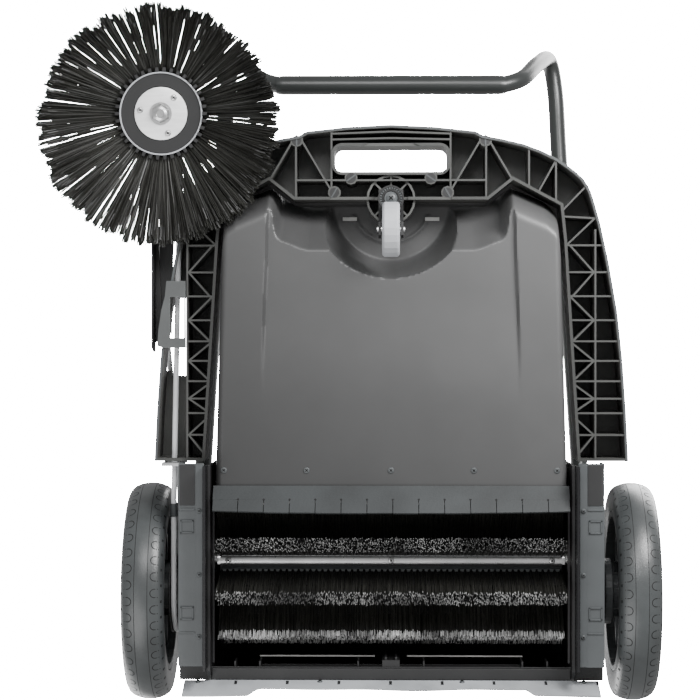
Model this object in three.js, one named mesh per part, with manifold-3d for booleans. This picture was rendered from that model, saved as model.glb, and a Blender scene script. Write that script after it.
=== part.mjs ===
// Walk behind push sweeper: two driven wheels turn a roller brush by gears and a side brush by a
// round belt, a front tub takes the dirt, and the tube handle folds forward over the machine.
// Millimetres, +Z up, the front faces -Y, and the operator's right is at -X.
import * as THREE from "three";
import { mergeVertices } from "three/addons/utils/BufferGeometryUtils.js";
import Module from "manifold-3d";

const wasm = await Module();
wasm.setup();

// ------------------------------------------------------------------ driving dimensions
const GAP = 0.3;
const WALL = 4;
const RIGHT = -1;
const LEFT = 1;

const WHEEL = { radius: 152, innerX: 307, width: 61, rimRadius: 112, segments: 30 };
const AXLE_RADIUS = 8;
const GEAR = { module: 2, wheelTeeth: 36, rollerTeeth: 20, innerX: 264, width: 10 };
const GEAR_DISTANCE = (GEAR.module * (GEAR.wheelTeeth + GEAR.rollerTeeth)) / 2;

const ROLLER = { y: -48, coreRadius: 38, tipRadius: 121, halfWidth: 238, shaftRadius: 8, rows: 10 };
ROLLER.z = WHEEL.radius - Math.sqrt(GEAR_DISTANCE ** 2 - ROLLER.y ** 2);
ROLLER.firstRow = -13;
ROLLER.splitHalfAngle = 8;

const FRAME = { bottom: 75, top: 150, rearY: -186, rib: 2.5, longRibX: 281 };
const HOUSING = { plateX: 246, frontY: -182, rearY: 113, bottom: 36, top: 262 };
const COVER = { innerX: 254, outerX: 289, bottom: 30, rearY: 91 };

const TUB = { bottom: 45, top: 250, rearY: -154, rearHalf: 240, frontHalf: 232 };
TUB.leanStart = 60;
TUB.shelf = FRAME.top + 7;
const LIFT_LEAN = 0.5056;

const CASTER = { pinY: -547, wheelY: -503, wheelRadius: 37.5, wheelWidth: 24, bowlRadius: 98 };
const BRUSH = { x: -317, y: -665, faceZ: 75, tilt: 6, tipRadius: 160, pulleyRadius: 25 };
const BELT = { radius: 4, x: -301.5, wheelRadius: 55, joinY: -117, pulleyLift: 27 };
BELT.guideY = -181;
const HANDLE = { radius: 12.5, hingeX: 287, hingeY: 20, hingeZ: 270, crossY: -732, crossZ: 315 };
HANDLE.frontY = -785;

// The part's origin is the middle of its footprint, on the ground.
const ORIGIN = new THREE.Vector3(
  -(WHEEL.innerX + WHEEL.width + BRUSH.x - BRUSH.tipRadius) / 2,
  -(BRUSH.y - BRUSH.tipRadius + WHEEL.radius) / 2,
  0,
);

// ------------------------------------------------------------------ materials
const material = (color, roughness, metalness = 0) =>
  new THREE.MeshStandardMaterial({ color, roughness, metalness });
const BLACK_PLASTIC = material(0x232424, 0.55);
const GREY_PLASTIC = material(0x76777a, 0.5);
const COVER_PLASTIC = material(0x54585a, 0.5);
const RUBBER = material(0x3a3d3f, 0.8);
const SEAL_RUBBER = material(0x9aa0a4, 0.7);
const FLAP_RUBBER = material(0x646a6e, 0.7);
const STEEL = material(0xc4c6c8, 0.3, 1);
const BRACKET_STEEL = material(0x7d8082, 0.45, 1);
const TUBE_PAINT = material(0x3b3f3f, 0.45, 0.3);
const BELT_PLASTIC = material(0xb4b6b8, 0.5);
const BRISTLE = material(0x111111, 0.8);

const machine = new THREE.Group();
machine.position.copy(ORIGIN);

// ------------------------------------------------------------------ geometry helpers
const positionsOf = (geometry) => geometry.attributes.position;

/** Six times the signed volume, to tell an inside-out geometry. */
function signedVolume(geometry) {
  const p = positionsOf(geometry);
  const a = new THREE.Vector3();
  const b = new THREE.Vector3();
  const c = new THREE.Vector3();
  let total = 0;
  for (let i = 0; i < geometry.index.count; i += 3) {
    a.fromBufferAttribute(p, geometry.index.getX(i));
    b.fromBufferAttribute(p, geometry.index.getX(i + 1));
    c.fromBufferAttribute(p, geometry.index.getX(i + 2));
    total += a.dot(b.cross(c));
  }
  return total;
}

/** Shared vertices, no degenerate triangles, faces pointing out. */
function closed(geometry) {
  const bare = geometry.clone();
  bare.deleteAttribute("normal");
  bare.deleteAttribute("uv");
  const merged = mergeVertices(bare, 1e-3);
  const kept = [];
  for (let i = 0; i < merged.index.count; i += 3) {
    const [a, b, c] = [0, 1, 2].map((k) => merged.index.getX(i + k));
    if (a !== b && b !== c && c !== a) kept.push(a, b, c);
  }
  merged.setIndex(kept);
  if (signedVolume(merged) < 0) {
    for (let i = 0; i < kept.length; i += 3) [kept[i], kept[i + 1]] = [kept[i + 1], kept[i]];
    merged.setIndex(kept);
  }
  return merged;
}

/** A closed geometry as a solid for cutting and joining. */
function solidOf(geometry) {
  const shell = closed(geometry);
  return new wasm.Manifold(
    new wasm.Mesh({
      numProp: 3,
      vertProperties: new Float32Array(positionsOf(shell).array),
      triVerts: new Uint32Array(shell.index.array),
    }),
  );
}

/** The geometry of a cut or joined solid. */
function geometryOf(solid) {
  const mesh = solid.getMesh();
  const geometry = new THREE.BufferGeometry();
  geometry.setAttribute("position", new THREE.BufferAttribute(mesh.vertProperties, 3));
  geometry.setIndex(new THREE.BufferAttribute(mesh.triVerts, 1));
  return geometry;
}

const join = (...parts) => parts.map(solidOf).reduce((sum, next) => sum.add(next));

/** Adds one named piece. */
function piece(name, shape, finish) {
  const geometry = shape instanceof wasm.Manifold ? geometryOf(shape) : closed(shape);
  const mesh = new THREE.Mesh(geometry, finish);
  mesh.name = name;
  machine.add(mesh);
  return mesh;
}

const polygon = (points) => new THREE.Shape(points.map(([a, b]) => new THREE.Vector2(a, b)));

/** A flat outline in X and Y, raised from z0 to z1. */
function upright(shape, z0, z1) {
  const geometry = new THREE.ExtrudeGeometry(shape, { depth: z1 - z0, bevelEnabled: false });
  return geometry.translate(0, 0, z0);
}

const ACROSS = new THREE.Matrix4().makeBasis(
  new THREE.Vector3(0, 1, 0),
  new THREE.Vector3(0, 0, 1),
  new THREE.Vector3(1, 0, 0),
);

/** An outline in Y and Z, drawn across the machine from x0 to x1. */
function across(shape, x0, x1) {
  const [low, high] = [Math.min(x0, x1), Math.max(x0, x1)];
  const geometry = new THREE.ExtrudeGeometry(shape, { depth: high - low, bevelEnabled: false });
  return geometry.applyMatrix4(ACROSS).translate(low, 0, 0);
}

/** A block between two corners. */
function block(x0, x1, y0, y1, z0, z1) {
  const size = [Math.abs(x1 - x0), Math.abs(y1 - y0), Math.abs(z1 - z0)];
  const geometry = new THREE.BoxGeometry(...size);
  return geometry.translate((x0 + x1) / 2, (y0 + y1) / 2, (z0 + z1) / 2);
}

const TURNED_X = new THREE.Matrix4().makeBasis(
  new THREE.Vector3(0, 1, 0),
  new THREE.Vector3(1, 0, 0),
  new THREE.Vector3(0, 0, -1),
);

/** A turned piece about an axis along X; the profile lists [radius, x]. */
function turnedX(profile, y, z, segments = 24) {
  const points = profile.map(([r, x]) => new THREE.Vector2(r, x));
  const geometry = new THREE.LatheGeometry(points, segments);
  return geometry.applyMatrix4(TURNED_X).translate(0, y, z);
}

/** A turned piece about an upright axis; the profile lists [radius, z]. */
function turnedZ(profile, x, y, segments = 24) {
  const points = profile.map(([r, z]) => new THREE.Vector2(r, z));
  const geometry = new THREE.LatheGeometry(points, segments);
  return geometry.rotateX(Math.PI / 2).translate(x, y, 0);
}

const rodX = (r, x0, x1, y, z, segments) =>
  turnedX([[0, x0], [r, x0], [r, x1], [0, x1]], y, z, segments);
const rodZ = (r, z0, z1, x, y, segments) =>
  turnedZ([[0, z0], [r, z0], [r, z1], [0, z1]], x, y, segments);
const ringX = (r0, r1, x0, x1, y, z, segments) =>
  turnedX([[r0, x0], [r1, x0], [r1, x1], [r0, x1], [r0, x0]], y, z, segments);

/** A rod of round section swept along a curve. */
function swept(curve, radius, steps, sides = 8) {
  const section = new THREE.Shape();
  section.absarc(0, 0, radius, 0, Math.PI * 2);
  return new THREE.ExtrudeGeometry(section, {
    steps,
    curveSegments: sides / 2,
    extrudePath: curve,
    bevelEnabled: false,
  });
}

/** A straight rib between two points of the plan, from z0 to z1. */
function rib([ax, ay], [bx, by], z0, z1, thickness) {
  const length = Math.hypot(bx - ax, by - ay);
  const geometry = new THREE.BoxGeometry(length, thickness, z1 - z0);
  geometry.rotateZ(Math.atan2(by - ay, bx - ax));
  return geometry.translate((ax + bx) / 2, (ay + by) / 2, (z0 + z1) / 2);
}

/** A half outline, listed from the rear to the front, closed by its mirror image. */
function mirrored(half) {
  const other = half.slice().reverse().map(([x, y]) => [-x, y]);
  return half.concat(other.filter(([x]) => Math.abs(x) > 1e-6));
}

/** Moves every edge of a closed outline inwards by d, or outwards when d is negative. */
function inset(points, d) {
  const area = points.reduce((sum, [x, y], i) => {
    const [nx, ny] = points[(i + 1) % points.length];
    return sum + x * ny - nx * y;
  }, 0);
  const sign = Math.sign(area);
  return points.map(([x, y], i) => {
    const [px, py] = points[(i + points.length - 1) % points.length];
    const [nx, ny] = points[(i + 1) % points.length];
    const before = new THREE.Vector2(x - px, y - py).normalize();
    const after = new THREE.Vector2(nx - x, ny - y).normalize();
    const normal = new THREE.Vector2(-before.y - after.y, before.x + after.x).normalize();
    const stretch = d / Math.max(0.5, normal.dot(new THREE.Vector2(-before.y, before.x)));
    return [x + normal.x * stretch * sign, y + normal.y * stretch * sign];
  });
}

/** Points of a smooth curve through the given ones. */
function smooth(points, divisions) {
  const curve = new THREE.SplineCurve(points.map(([x, y]) => new THREE.Vector2(x, y)));
  return curve.getPoints(divisions).map((p) => [p.x, p.y]);
}

// ------------------------------------------------------------------ main frame
const frameSide = smooth(
  [[326, -186], [320.5, -292], [311, -391], [293, -490], [280, -540]],
  6,
);
const frameCorner = smooth(
  [[275, -556], [265.5, -573], [247.6, -589], [220, -607], [177, -624], [127, -634]],
  9,
);
const frameOutline = mirrored([...frameSide, ...frameCorner, [116, -640], [60, -646], [0, -649]]);
const wellOutline = mirrored([[257, -182], [238, -490], [233, -538], [168, -573], [134, -546]]);
const SIDE_RIBS = [-222, -252, -272, -296, -324, -351, -380, -413, -446, -483];
const CORNER_RIBS = [
  [[190, -617], [190, -560]],
  [[227, -600], [202, -555]],
  [[227, -600], [227, -535]],
  [[270, -566], [233, -528]],
  [[232, -523], [284, -520]],
  [[280, -520], [238, -480]],
];
const GRIP = { half: 78, frontY: -620, rearY: -584.5, corner: 11 };
const BEAM_RIBS = [
  [[GRIP.half + 4, -640], [GRIP.half + 4, -544]],
  [[131, -636], [131, -544]],
  [[135, -628], [168, -572]],
  [[122, -626], [82, -558]],
  [[-1, -631], [82, -629]],
  [[-1, -640], [82, -637]],
];
const BEAM_BOSSES = [[130, -628], [55, -576], [78, -556]];

function gripOutline(grow) {
  const shape = new THREE.Shape();
  const radius = GRIP.corner + grow;
  const reach = GRIP.half + grow - radius;
  const front = GRIP.frontY - grow + radius;
  const rear = GRIP.rearY + grow - radius;
  shape.absarc(reach, front, radius, -Math.PI / 2, 0);
  shape.absarc(reach, rear, radius, 0, Math.PI / 2);
  shape.absarc(-reach, rear, radius, Math.PI / 2, Math.PI);
  shape.absarc(-reach, front, radius, Math.PI, (3 * Math.PI) / 2);
  return shape;
}

function mainFrame() {
  const { bottom, top } = FRAME;
  const roof = top - WALL;
  const body = solidOf(upright(polygon(frameOutline), bottom, top)).subtract(
    solidOf(upright(polygon(wellOutline), bottom - 1, top + 1)),
  );
  const hollow = solidOf(upright(polygon(inset(frameOutline, WALL)), bottom - 1, roof)).subtract(
    solidOf(upright(polygon(inset(wellOutline, -WALL)), bottom - 2, roof + 1)),
  );
  const grip = solidOf(upright(gripOutline(WALL), bottom, top));
  const ribs = [];
  const addRib = (a, b) => ribs.push(rib(a, b, bottom + 2, roof + 1, FRAME.rib));
  for (const side of [RIGHT, LEFT]) {
    const flip = ([x, y]) => [side * x, y];
    const crossEnd = side === LEFT ? 322 : FRAME.longRibX;
    addRib([side * FRAME.longRibX, FRAME.rearY], [side * FRAME.longRibX, -505]);
    SIDE_RIBS.forEach((y, i) => {
      addRib([side * 236, y], [side * crossEnd, y]);
      const from = i === 0 ? FRAME.rearY : SIDE_RIBS[i - 1];
      const [start, end] = i % 2 === 0 ? [250, 279] : [279, 246];
      addRib([side * start, from], [side * end, y]);
    });
    CORNER_RIBS.concat(BEAM_RIBS).forEach(([a, b]) => addRib(flip(a), flip(b)));
    for (const [x, y] of BEAM_BOSSES) ribs.push(rodZ(9, bottom + 2, roof + 1, side * x, y, 10));
  }
  addRib([-131, -573], [131, -573]);
  const ribSet = ribs.map(solidOf).reduce((sum, next) => sum.add(next));
  const boss = solidOf(rodZ(34, 84, top, 0, CASTER.pinY, 20)).subtract(
    solidOf(rodZ(31, 83, roof, 0, CASTER.pinY, 20)),
  );
  const bossHub = solidOf(rodZ(12, 84, top, 0, CASTER.pinY, 12));
  const bossRibs = [0, 45, 90, 135].map((angle) => {
    const web = new THREE.BoxGeometry(64, FRAME.rib, roof - 85);
    web.rotateZ(THREE.MathUtils.degToRad(angle));
    return solidOf(web.translate(0, CASTER.pinY, (roof + 85) / 2));
  });
  const bossSolid = bossRibs.reduce((sum, next) => sum.add(next), boss.add(bossHub));
  const keepOut = solidOf(upright(polygon(wellOutline), bottom - 1, top + 1));
  return body
    .subtract(hollow)
    .add(ribSet.intersect(solidOf(upright(polygon(frameOutline), bottom, top))))
    .add(grip)
    .subtract(keepOut)
    .add(bossSolid)
    .subtract(solidOf(upright(gripOutline(0), bottom - 1, top + 1)))
    .subtract(solidOf(rodZ(6 + GAP, bottom, top + 1, 0, CASTER.pinY, 12)))
    .subtract(solidOf(rodZ(24, bottom - 5, 84, 0, CASTER.pinY, 16)))
    .subtract(solidOf(rodZ(84, bottom - 5, bottom + 2.5, 0, CASTER.pinY, 20)))
    .subtract(solidOf(block(-310, -286, -600, FRAME.rearY + 2, 84, 112)))
    .subtract(solidOf(rib([-311, -310], [-322, -425], 138, top + 1, 12)))
    .subtract(solidOf(block(-309, -289, -412, -303, roof - 1, top + 1)));
}

// ------------------------------------------------------------------ roller housing and covers
function chamberProfile(rearY, topZ) {
  const shape = new THREE.Shape();
  shape.moveTo(HOUSING.frontY, HOUSING.bottom);
  shape.lineTo(98, HOUSING.bottom);
  shape.lineTo(rearY, 60);
  shape.lineTo(rearY, 160);
  shape.quadraticCurveTo(rearY - 4, topZ - 4, 20, topZ);
  shape.lineTo(-100, topZ);
  shape.quadraticCurveTo(HOUSING.frontY, topZ, HOUSING.frontY, 200);
  return shape;
}

/** A bent sheet over the roller, between an outer and an inner line. */
function archProfile(rearY, topZ, thickness, frontY, bottomZ) {
  const shape = new THREE.Shape();
  shape.moveTo(frontY, topZ);
  shape.lineTo(frontY, topZ - thickness);
  shape.lineTo(20, topZ - thickness);
  shape.quadraticCurveTo(rearY - 4 - thickness, topZ - 4 - thickness, rearY - thickness, 160);
  shape.lineTo(rearY - thickness, bottomZ);
  shape.lineTo(rearY, bottomZ);
  shape.lineTo(rearY, 160);
  shape.quadraticCurveTo(rearY - 4, topZ - 4, 20, topZ);
  return shape;
}

function rollerHousing() {
  const { plateX, rearY, top } = HOUSING;
  const outerX = plateX + WALL;
  const plate = chamberProfile(rearY, top);
  return join(
    across(plate, -outerX, -plateX),
    across(plate, plateX, outerX),
    across(archProfile(rearY, top, WALL, -140, 60), -plateX - 1, plateX + 1),
    block(-290, 290, 95, rearY, 60, 64),
    block(-12, 12, 86, rearY - 1, 62, 140),
    block(-180, 180, 98, rearY - 1, 108, 111),
  )
    .subtract(solidOf(rodX(AXLE_RADIUS + GAP, -300, 300, 0, WHEEL.radius, 14)))
    .subtract(solidOf(rodX(20, -300, 300, ROLLER.y, ROLLER.z, 16)));
}

const topDeck = () =>
  across(archProfile(HOUSING.rearY + 5, HOUSING.top + 5, 4.5, -176, 70), -256, 256);

function sideCover(side) {
  const { innerX, outerX, bottom, rearY } = COVER;
  const wall = polygon([
    [-185, bottom],
    [rearY, bottom],
    [rearY, 150],
    [60, 236],
    [-90, 236],
    [-150, 150],
    [-185, 70],
  ]);
  return join(
    block(side * innerX, side * outerX, -185, rearY, bottom, bottom + 3),
    across(wall, side * (outerX - 3), side * outerX),
  ).subtract(solidOf(rodX(26, side * 270, side * 300, 0, WHEEL.radius)));
}

const sideSkirt = (side) =>
  block(side * (250 + GAP), side * (253 + GAP), HOUSING.frontY, 94, 5, 59);
const rearSeal = () =>
  across(polygon([[113.5, 58], [116.5, 58], [131, 10], [128, 10]]), -283, 283);
const rearSealClamp = () => block(-245, 245, 97, 112, 56.7, 60 - GAP);

// ------------------------------------------------------------------ wheels and gears
/** A spur gear about an axis along X, with one tooth centred on phase (radians). */
function gear(teeth, phase, x0, x1, y, z, bore) {
  const pitchRadius = (GEAR.module * teeth) / 2;
  const root = pitchRadius - 2.2;
  const tip = pitchRadius + 1.7;
  const outline = [];
  for (let i = 0; i < teeth; i += 1) {
    const middle = phase + (i * 2 * Math.PI) / teeth;
    const corners = [[root, -1.7], [tip, -0.6], [tip, 0.6], [root, 1.7]];
    for (const [radius, offset] of corners) {
      const angle = middle + offset / radius;
      outline.push([y + radius * Math.cos(angle), z + radius * Math.sin(angle)]);
    }
  }
  const hole = rodX(bore, x0 - 50 * Math.sign(x0), x1 * 1.5, y, z, 16);
  return solidOf(across(polygon(outline), x0, x1)).subtract(solidOf(hole));
}

const meshAngle = Math.atan2(ROLLER.z - WHEEL.radius, ROLLER.y);

function driveGear(side, sleeveEnd) {
  const x0 = side * GEAR.innerX;
  const x1 = side * (GEAR.innerX + GEAR.width);
  const bore = AXLE_RADIUS + GAP;
  const sleeve = ringX(bore, 14, side * 259, side * sleeveEnd, 0, WHEEL.radius, 16);
  return gear(GEAR.wheelTeeth, meshAngle, x0, x1, 0, WHEEL.radius, bore).add(solidOf(sleeve));
}

function rollerPinion(side) {
  const x0 = side * GEAR.innerX;
  const x1 = side * (GEAR.innerX + GEAR.width);
  const phase = meshAngle + Math.PI + Math.PI / GEAR.rollerTeeth;
  const bore = ROLLER.shaftRadius + GAP;
  return gear(GEAR.rollerTeeth, phase, x0, x1, ROLLER.y, ROLLER.z, bore);
}

function tyre(side) {
  const { innerX, width, radius, rimRadius, segments } = WHEEL;
  const outerX = innerX + width;
  const profile = [
    [rimRadius + GAP, innerX + 3],
    [140, innerX],
    [148, innerX + 4],
    [radius, innerX + 14],
    [radius, outerX - 14],
    [148, outerX - 4],
    [140, outerX],
    [rimRadius + GAP, outerX - 3],
    [rimRadius + GAP, innerX + 3],
  ];
  return turnedX(profile.map(([r, x]) => [r, side * x]), 0, radius, segments);
}

function rim(side) {
  const { rimRadius, segments, radius } = WHEEL;
  const bore = AXLE_RADIUS + GAP;
  const boss = side === LEFT ? [[bore, 298], [46, 298], [46, 309]] : [[bore, 309]];
  const profile = [
    ...boss,
    [26, 309],
    [26, 332],
    [104, 332],
    [104, 310.5],
    [rimRadius, 310.5],
    [rimRadius, 364.5],
    [104, 364.5],
    [104, 338],
    [26, 338],
    [26, 362],
    [bore, 362],
    boss[0],
  ];
  return turnedX(profile.map(([r, x]) => [r, side * x]), 0, radius, segments);
}

function hubCap(side) {
  const profile = [[0, 362 + GAP], [40, 362 + GAP], [38, 366], [22, 370], [0, 371]];
  return turnedX(profile.map(([r, x]) => [r, side * x]), 0, WHEEL.radius, 28);
}

function wheelAxle(side) {
  const profile = [[0, 244], [AXLE_RADIUS, 244], [AXLE_RADIUS, 250 + GAP], [16, 250 + GAP]];
  profile.push([16, 256], [AXLE_RADIUS, 256], [AXLE_RADIUS, 361.5], [0, 361.5]);
  return turnedX(profile.map(([r, x]) => [r, side * x]), 0, WHEEL.radius, 14);
}

function beltPulley() {
  const profile = [
    [AXLE_RADIUS + GAP, 294.5],
    [59, 294.5],
    [59, 296.6],
    [49.8, 297.2],
    [49.8, 305.8],
    [59, 306.4],
    [59, 308.6],
    [AXLE_RADIUS + GAP, 308.6],
    [AXLE_RADIUS + GAP, 294.5],
  ];
  return turnedX(profile.map(([r, x]) => [r, -x]), 0, WHEEL.radius, 28);
}

// ------------------------------------------------------------------ roller brush
const degrees = THREE.MathUtils.degToRad;
/** A point at a radius and an angle from straight down, positive towards the rear. */
const rollerPoint = (radius, angle) => [
  ROLLER.y + radius * Math.sin(degrees(angle)),
  ROLLER.z - radius * Math.cos(degrees(angle)),
];

function rollerSector(r0, r1, side) {
  const steps = 12;
  const start = ROLLER.splitHalfAngle;
  const sweep = 180 - 2 * start;
  const at = (r, i) => rollerPoint(r, side * (start + (sweep * i) / steps));
  const outer = Array.from({ length: steps + 1 }, (_, i) => at(r1, i));
  const inner = Array.from({ length: steps + 1 }, (_, i) => at(r0, steps - i));
  return polygon(outer.concat(inner));
}

/** Half of the bristle rows, standing on a thin sleeve around the core. */
function rollerBristles(side) {
  const sleeve = rollerSector(ROLLER.coreRadius + GAP, ROLLER.coreRadius + 3, side);
  let rows = solidOf(across(sleeve, -ROLLER.halfWidth, ROLLER.halfWidth));
  for (let i = 0; i < ROLLER.rows; i += 1) {
    const angle = ROLLER.firstRow + (360 / ROLLER.rows) * i;
    const behind = Math.sin(degrees(angle)) > 0;
    if (behind !== side > 0) continue;
    const root = ROLLER.coreRadius + 2;
    const corners = [
      rollerPoint(root, angle - 5),
      rollerPoint(ROLLER.tipRadius, angle - 3.8),
      rollerPoint(ROLLER.tipRadius, angle + 3.8),
      rollerPoint(root, angle + 5),
    ];
    rows = rows.add(solidOf(across(polygon(corners), -ROLLER.halfWidth, ROLLER.halfWidth)));
  }
  return rows;
}

const rollerCore = (side) =>
  across(rollerSector(ROLLER.shaftRadius + GAP, ROLLER.coreRadius, side), -236, 236);
const rollerShaft = () => rodX(ROLLER.shaftRadius, -277, 277, ROLLER.y, ROLLER.z, 20);
const clampBar = (side) => {
  const z = ROLLER.z - side * 33.5;
  return block(-241, 241, ROLLER.y - 3.8, ROLLER.y + 3.8, z - 1.5, z + 1.5);
};
const rollerBearing = (side) =>
  ringX(ROLLER.shaftRadius + GAP, 20 - GAP, side * 245, side * 257, ROLLER.y, ROLLER.z, 16);

// ------------------------------------------------------------------ waste tub
const tubHalf = [[TUB.rearHalf, 60], [TUB.rearHalf, TUB.rearY], [TUB.frontHalf, -490]];
const tubOutline = mirrored([...tubHalf, [229, -535], [213, -548], [168, -567], [134, -541]]);
const tubTopHalf = [[TUB.rearHalf, 60], [TUB.rearHalf, -186], [247, -190], [243, -490]];
const tubTopFront = [[240, -542], [222, -562], [172, -580], [137, -553]];
const tubTopOutline = mirrored([...tubTopHalf, ...tubTopFront]);

/** The tub's body, whose front leans out up to the shelf so that it can be drawn up and forwards. */
function tubBody(lowOutline, topOutline, bottom, shelf, top) {
  const setBack = LIFT_LEAN * (TUB.shelf - TUB.leanStart);
  const lower = upright(polygon(lowOutline), bottom, TUB.leanStart + 0.01);
  lower.translate(0, setBack, 0);
  const middle = upright(polygon(lowOutline), 0, shelf + 0.01 - TUB.leanStart);
  middle.applyMatrix4(new THREE.Matrix4().makeShear(0, 0, 0, 0, 0, -LIFT_LEAN));
  middle.translate(0, setBack, TUB.leanStart);
  const upper = upright(polygon(topOutline), shelf, top);
  return join(lower, middle, upper);
}

function wasteTub() {
  const { bottom, top, rearY } = TUB;
  const bowl = (radius, roof) => solidOf(rodZ(radius, 30, roof, 0, CASTER.pinY, 40));
  const outerSide = [[-700, bottom], [rearY, bottom], [rearY, 60], [-176, 82], [-176, top]];
  const innerSide = [[-700, 49], [-158, 49], [-158, 61], [-180, 83], [-100, 83], [-100, 300]];
  const outer = tubBody(tubOutline, tubTopOutline, bottom, TUB.shelf, top)
    .intersect(solidOf(across(polygon([...outerSide, [-700, top]]), -300, 300)))
    .subtract(bowl(CASTER.bowlRadius, TUB.shelf));
  const [lowInset, topInset] = [inset(tubOutline, WALL), inset(tubTopOutline, WALL)];
  const inner = tubBody(lowInset, topInset, bottom + WALL, TUB.shelf + WALL, top + 10)
    .intersect(solidOf(across(polygon([...innerSide, [-700, 300]]), -300, 300)))
    .subtract(bowl(CASTER.bowlRadius + WALL, TUB.shelf + WALL));
  return outer.subtract(inner);
}

function tubLid() {
  const half = [[244, -176], [244, -187], [250, -192], [246, -490], [243, -545], [225, -566]];
  const outline = mirrored([...half, [173, -584], [138, -557]]);
  const ears = [-1, 1].map((side) => block(side * 111, side * 116, -342, -318, 256, 285));
  return join(upright(polygon(outline), TUB.top + GAP, 258), ...ears).subtract(
    solidOf(rodX(4 + GAP, -130, 130, -330, 274)),
  );
}

/** The tub's bail: a bent rod whose two ends sit in the lid's ears. */
function tubBail() {
  const half = 120;
  const points = [[104, -330], [120, -330], [half + 6, -336], [half + 6, -380]];
  points.push([112, -412], [85, -418]);
  const right = points.map(([x, y]) => new THREE.Vector3(x, y, 274));
  const left = points.slice().reverse().map(([x, y]) => new THREE.Vector3(-x, y, 274));
  const curve = new THREE.CatmullRomCurve3([...right, ...left], false, "centripetal");
  return swept(curve, 4, 30, 6);
}

const flap = () =>
  across(
    polygon([[-153.7, 54], [-150.7, 54], [-150.7, 43], [-116.5, 13.5], [-118.5, 11], [-153.7, 40]]),
    -243,
    243,
  );
const flapClamp = () => block(-238, 238, -150.4, -148, 46, 53);

// ------------------------------------------------------------------ caster
function casterFork() {
  const arm = polygon([
    [CASTER.pinY - 12, 62],
    [CASTER.pinY - 12, 80],
    [CASTER.pinY + 14, 80],
    [CASTER.wheelY + 12, 42],
    [CASTER.wheelY + 8, 28],
    [CASTER.wheelY - 10, 30],
    [CASTER.pinY + 8, 62],
  ]);
  return join(
    rodZ(18, 62, 84 - GAP, 0, CASTER.pinY, 24),
    across(arm, 13.5, 17),
    across(arm, -17, -13.5),
  )
    .subtract(solidOf(rodZ(6 + GAP, 50, 100, 0, CASTER.pinY, 16)))
    .subtract(solidOf(rodX(4 + GAP, -20, 20, CASTER.wheelY, CASTER.wheelRadius, 12)))
    .subtract(solidOf(rodX(CASTER.wheelRadius + 2, -13, 13, CASTER.wheelY, CASTER.wheelRadius, 28)));
}

function casterWheel() {
  const half = CASTER.wheelWidth / 2;
  const { wheelRadius } = CASTER;
  const profile = [[4 + GAP, -half], [wheelRadius - 3, -half], [wheelRadius, 3 - half]];
  profile.push([wheelRadius, half - 3], [wheelRadius - 3, half], [4 + GAP, half], [4 + GAP, -half]);
  return turnedX(profile, CASTER.wheelY, wheelRadius, 24);
}

const casterAxle = () => rodX(4, -19, 19, CASTER.wheelY, CASTER.wheelRadius, 12);
const casterPin = () =>
  turnedZ([[0, 58], [9, 58], [9, 62 - GAP], [6, 62 - GAP], [6, 152], [0, 152]], 0, CASTER.pinY, 16);

// ------------------------------------------------------------------ side brush
const brushFrame = new THREE.Matrix4()
  .makeTranslation(BRUSH.x, BRUSH.y, BRUSH.faceZ)
  .multiply(new THREE.Matrix4().makeRotationX(degrees(BRUSH.tilt)));
/** A turned piece on the side brush's own leaning axis. */
const onBrush = (profile, segments) => turnedZ(profile, 0, 0, segments).applyMatrix4(brushFrame);

const brushDisc = () => onBrush([[6.3, 0], [56, 0], [58, 5], [52, 14], [6.3, 15], [6.3, 0]], 28);
const clampPlate = () => onBrush([[6.3, -2.3], [36.5, -2.3], [36.5, -GAP], [6.3, -GAP], [6.3, -2.3]], 24);
const hubNut = () => onBrush([[0, -11], [11, -11], [14, -8], [14, -2.6], [0, -2.6]], 6);
const brushBristles = () =>
  onBrush(
    [[58.5, 5.5], [54, 14], [72, 8], [98, -10], [140, -36], [160, -50], [156, -56], [98, -24], [60, 2], [58.5, 5.5]],
    28,
  );
const brushSpindle = () =>
  onBrush(
    [
      [0, -2],
      [6, -2],
      [6, 16.5],
      [29, 17],
      [29, 19.5],
      [19, 21],
      [19, 31],
      [29, 32.5],
      [29, 35],
      [6, 35],
      [6, 60],
      [0, 60],
    ],
    20,
  );

function brushArm() {
  const plan = polygon([
    [-323, -345],
    [-318.5, -345],
    [-315, -391],
    [-306, -441],
    [-304, -490],
    [-304, BRUSH.y],
    [-323, BRUSH.y],
  ]);
  const socket = onBrush([[0, 38], [15, 38], [15, 62], [0, 62]], 24);
  return join(upright(plan, 114, 128), socket)
    .subtract(solidOf(onBrush([[0, 20], [6 + GAP, 20], [6 + GAP, 61], [0, 61]], 16)))
    .subtract(solidOf(onBrush([[0, 10], [31, 10], [31, 36], [0, 36]], 24)))
    .subtract(solidOf(rodX(4 + GAP, -340, -300, -358, 121, 12)));
}

const armCover = () =>
  join(
    upright(polygon([[-331, -560], [-331, -343], [-328, -336], [-328, -560]]), 78, 113 - GAP),
    upright(polygon([[-331, -560], [-331, -350], [-319.5, -350], [-319.5, -400], [-328, -560]]), 110, 114 - GAP),
  );
const armPivot = () => rodX(4, -330, -317.2, -358, 121, 12);

function brushBracket() {
  const plan = polygon([
    [-309.5, -434],
    [-283, -434],
    [-282.5, -342],
    [-314, -342],
    [-322, -344.5],
    [-320.5, -366.5],
    [-316.5, -394],
    [-311.5, -413],
  ]);
  const { bottom } = FRAME;
  return solidOf(upright(plan, bottom - GAP - 3, bottom - GAP)).subtract(
    solidOf(block(-304, -285, -412, -355.5, bottom - 10, bottom + 1)),
  );
}

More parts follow.
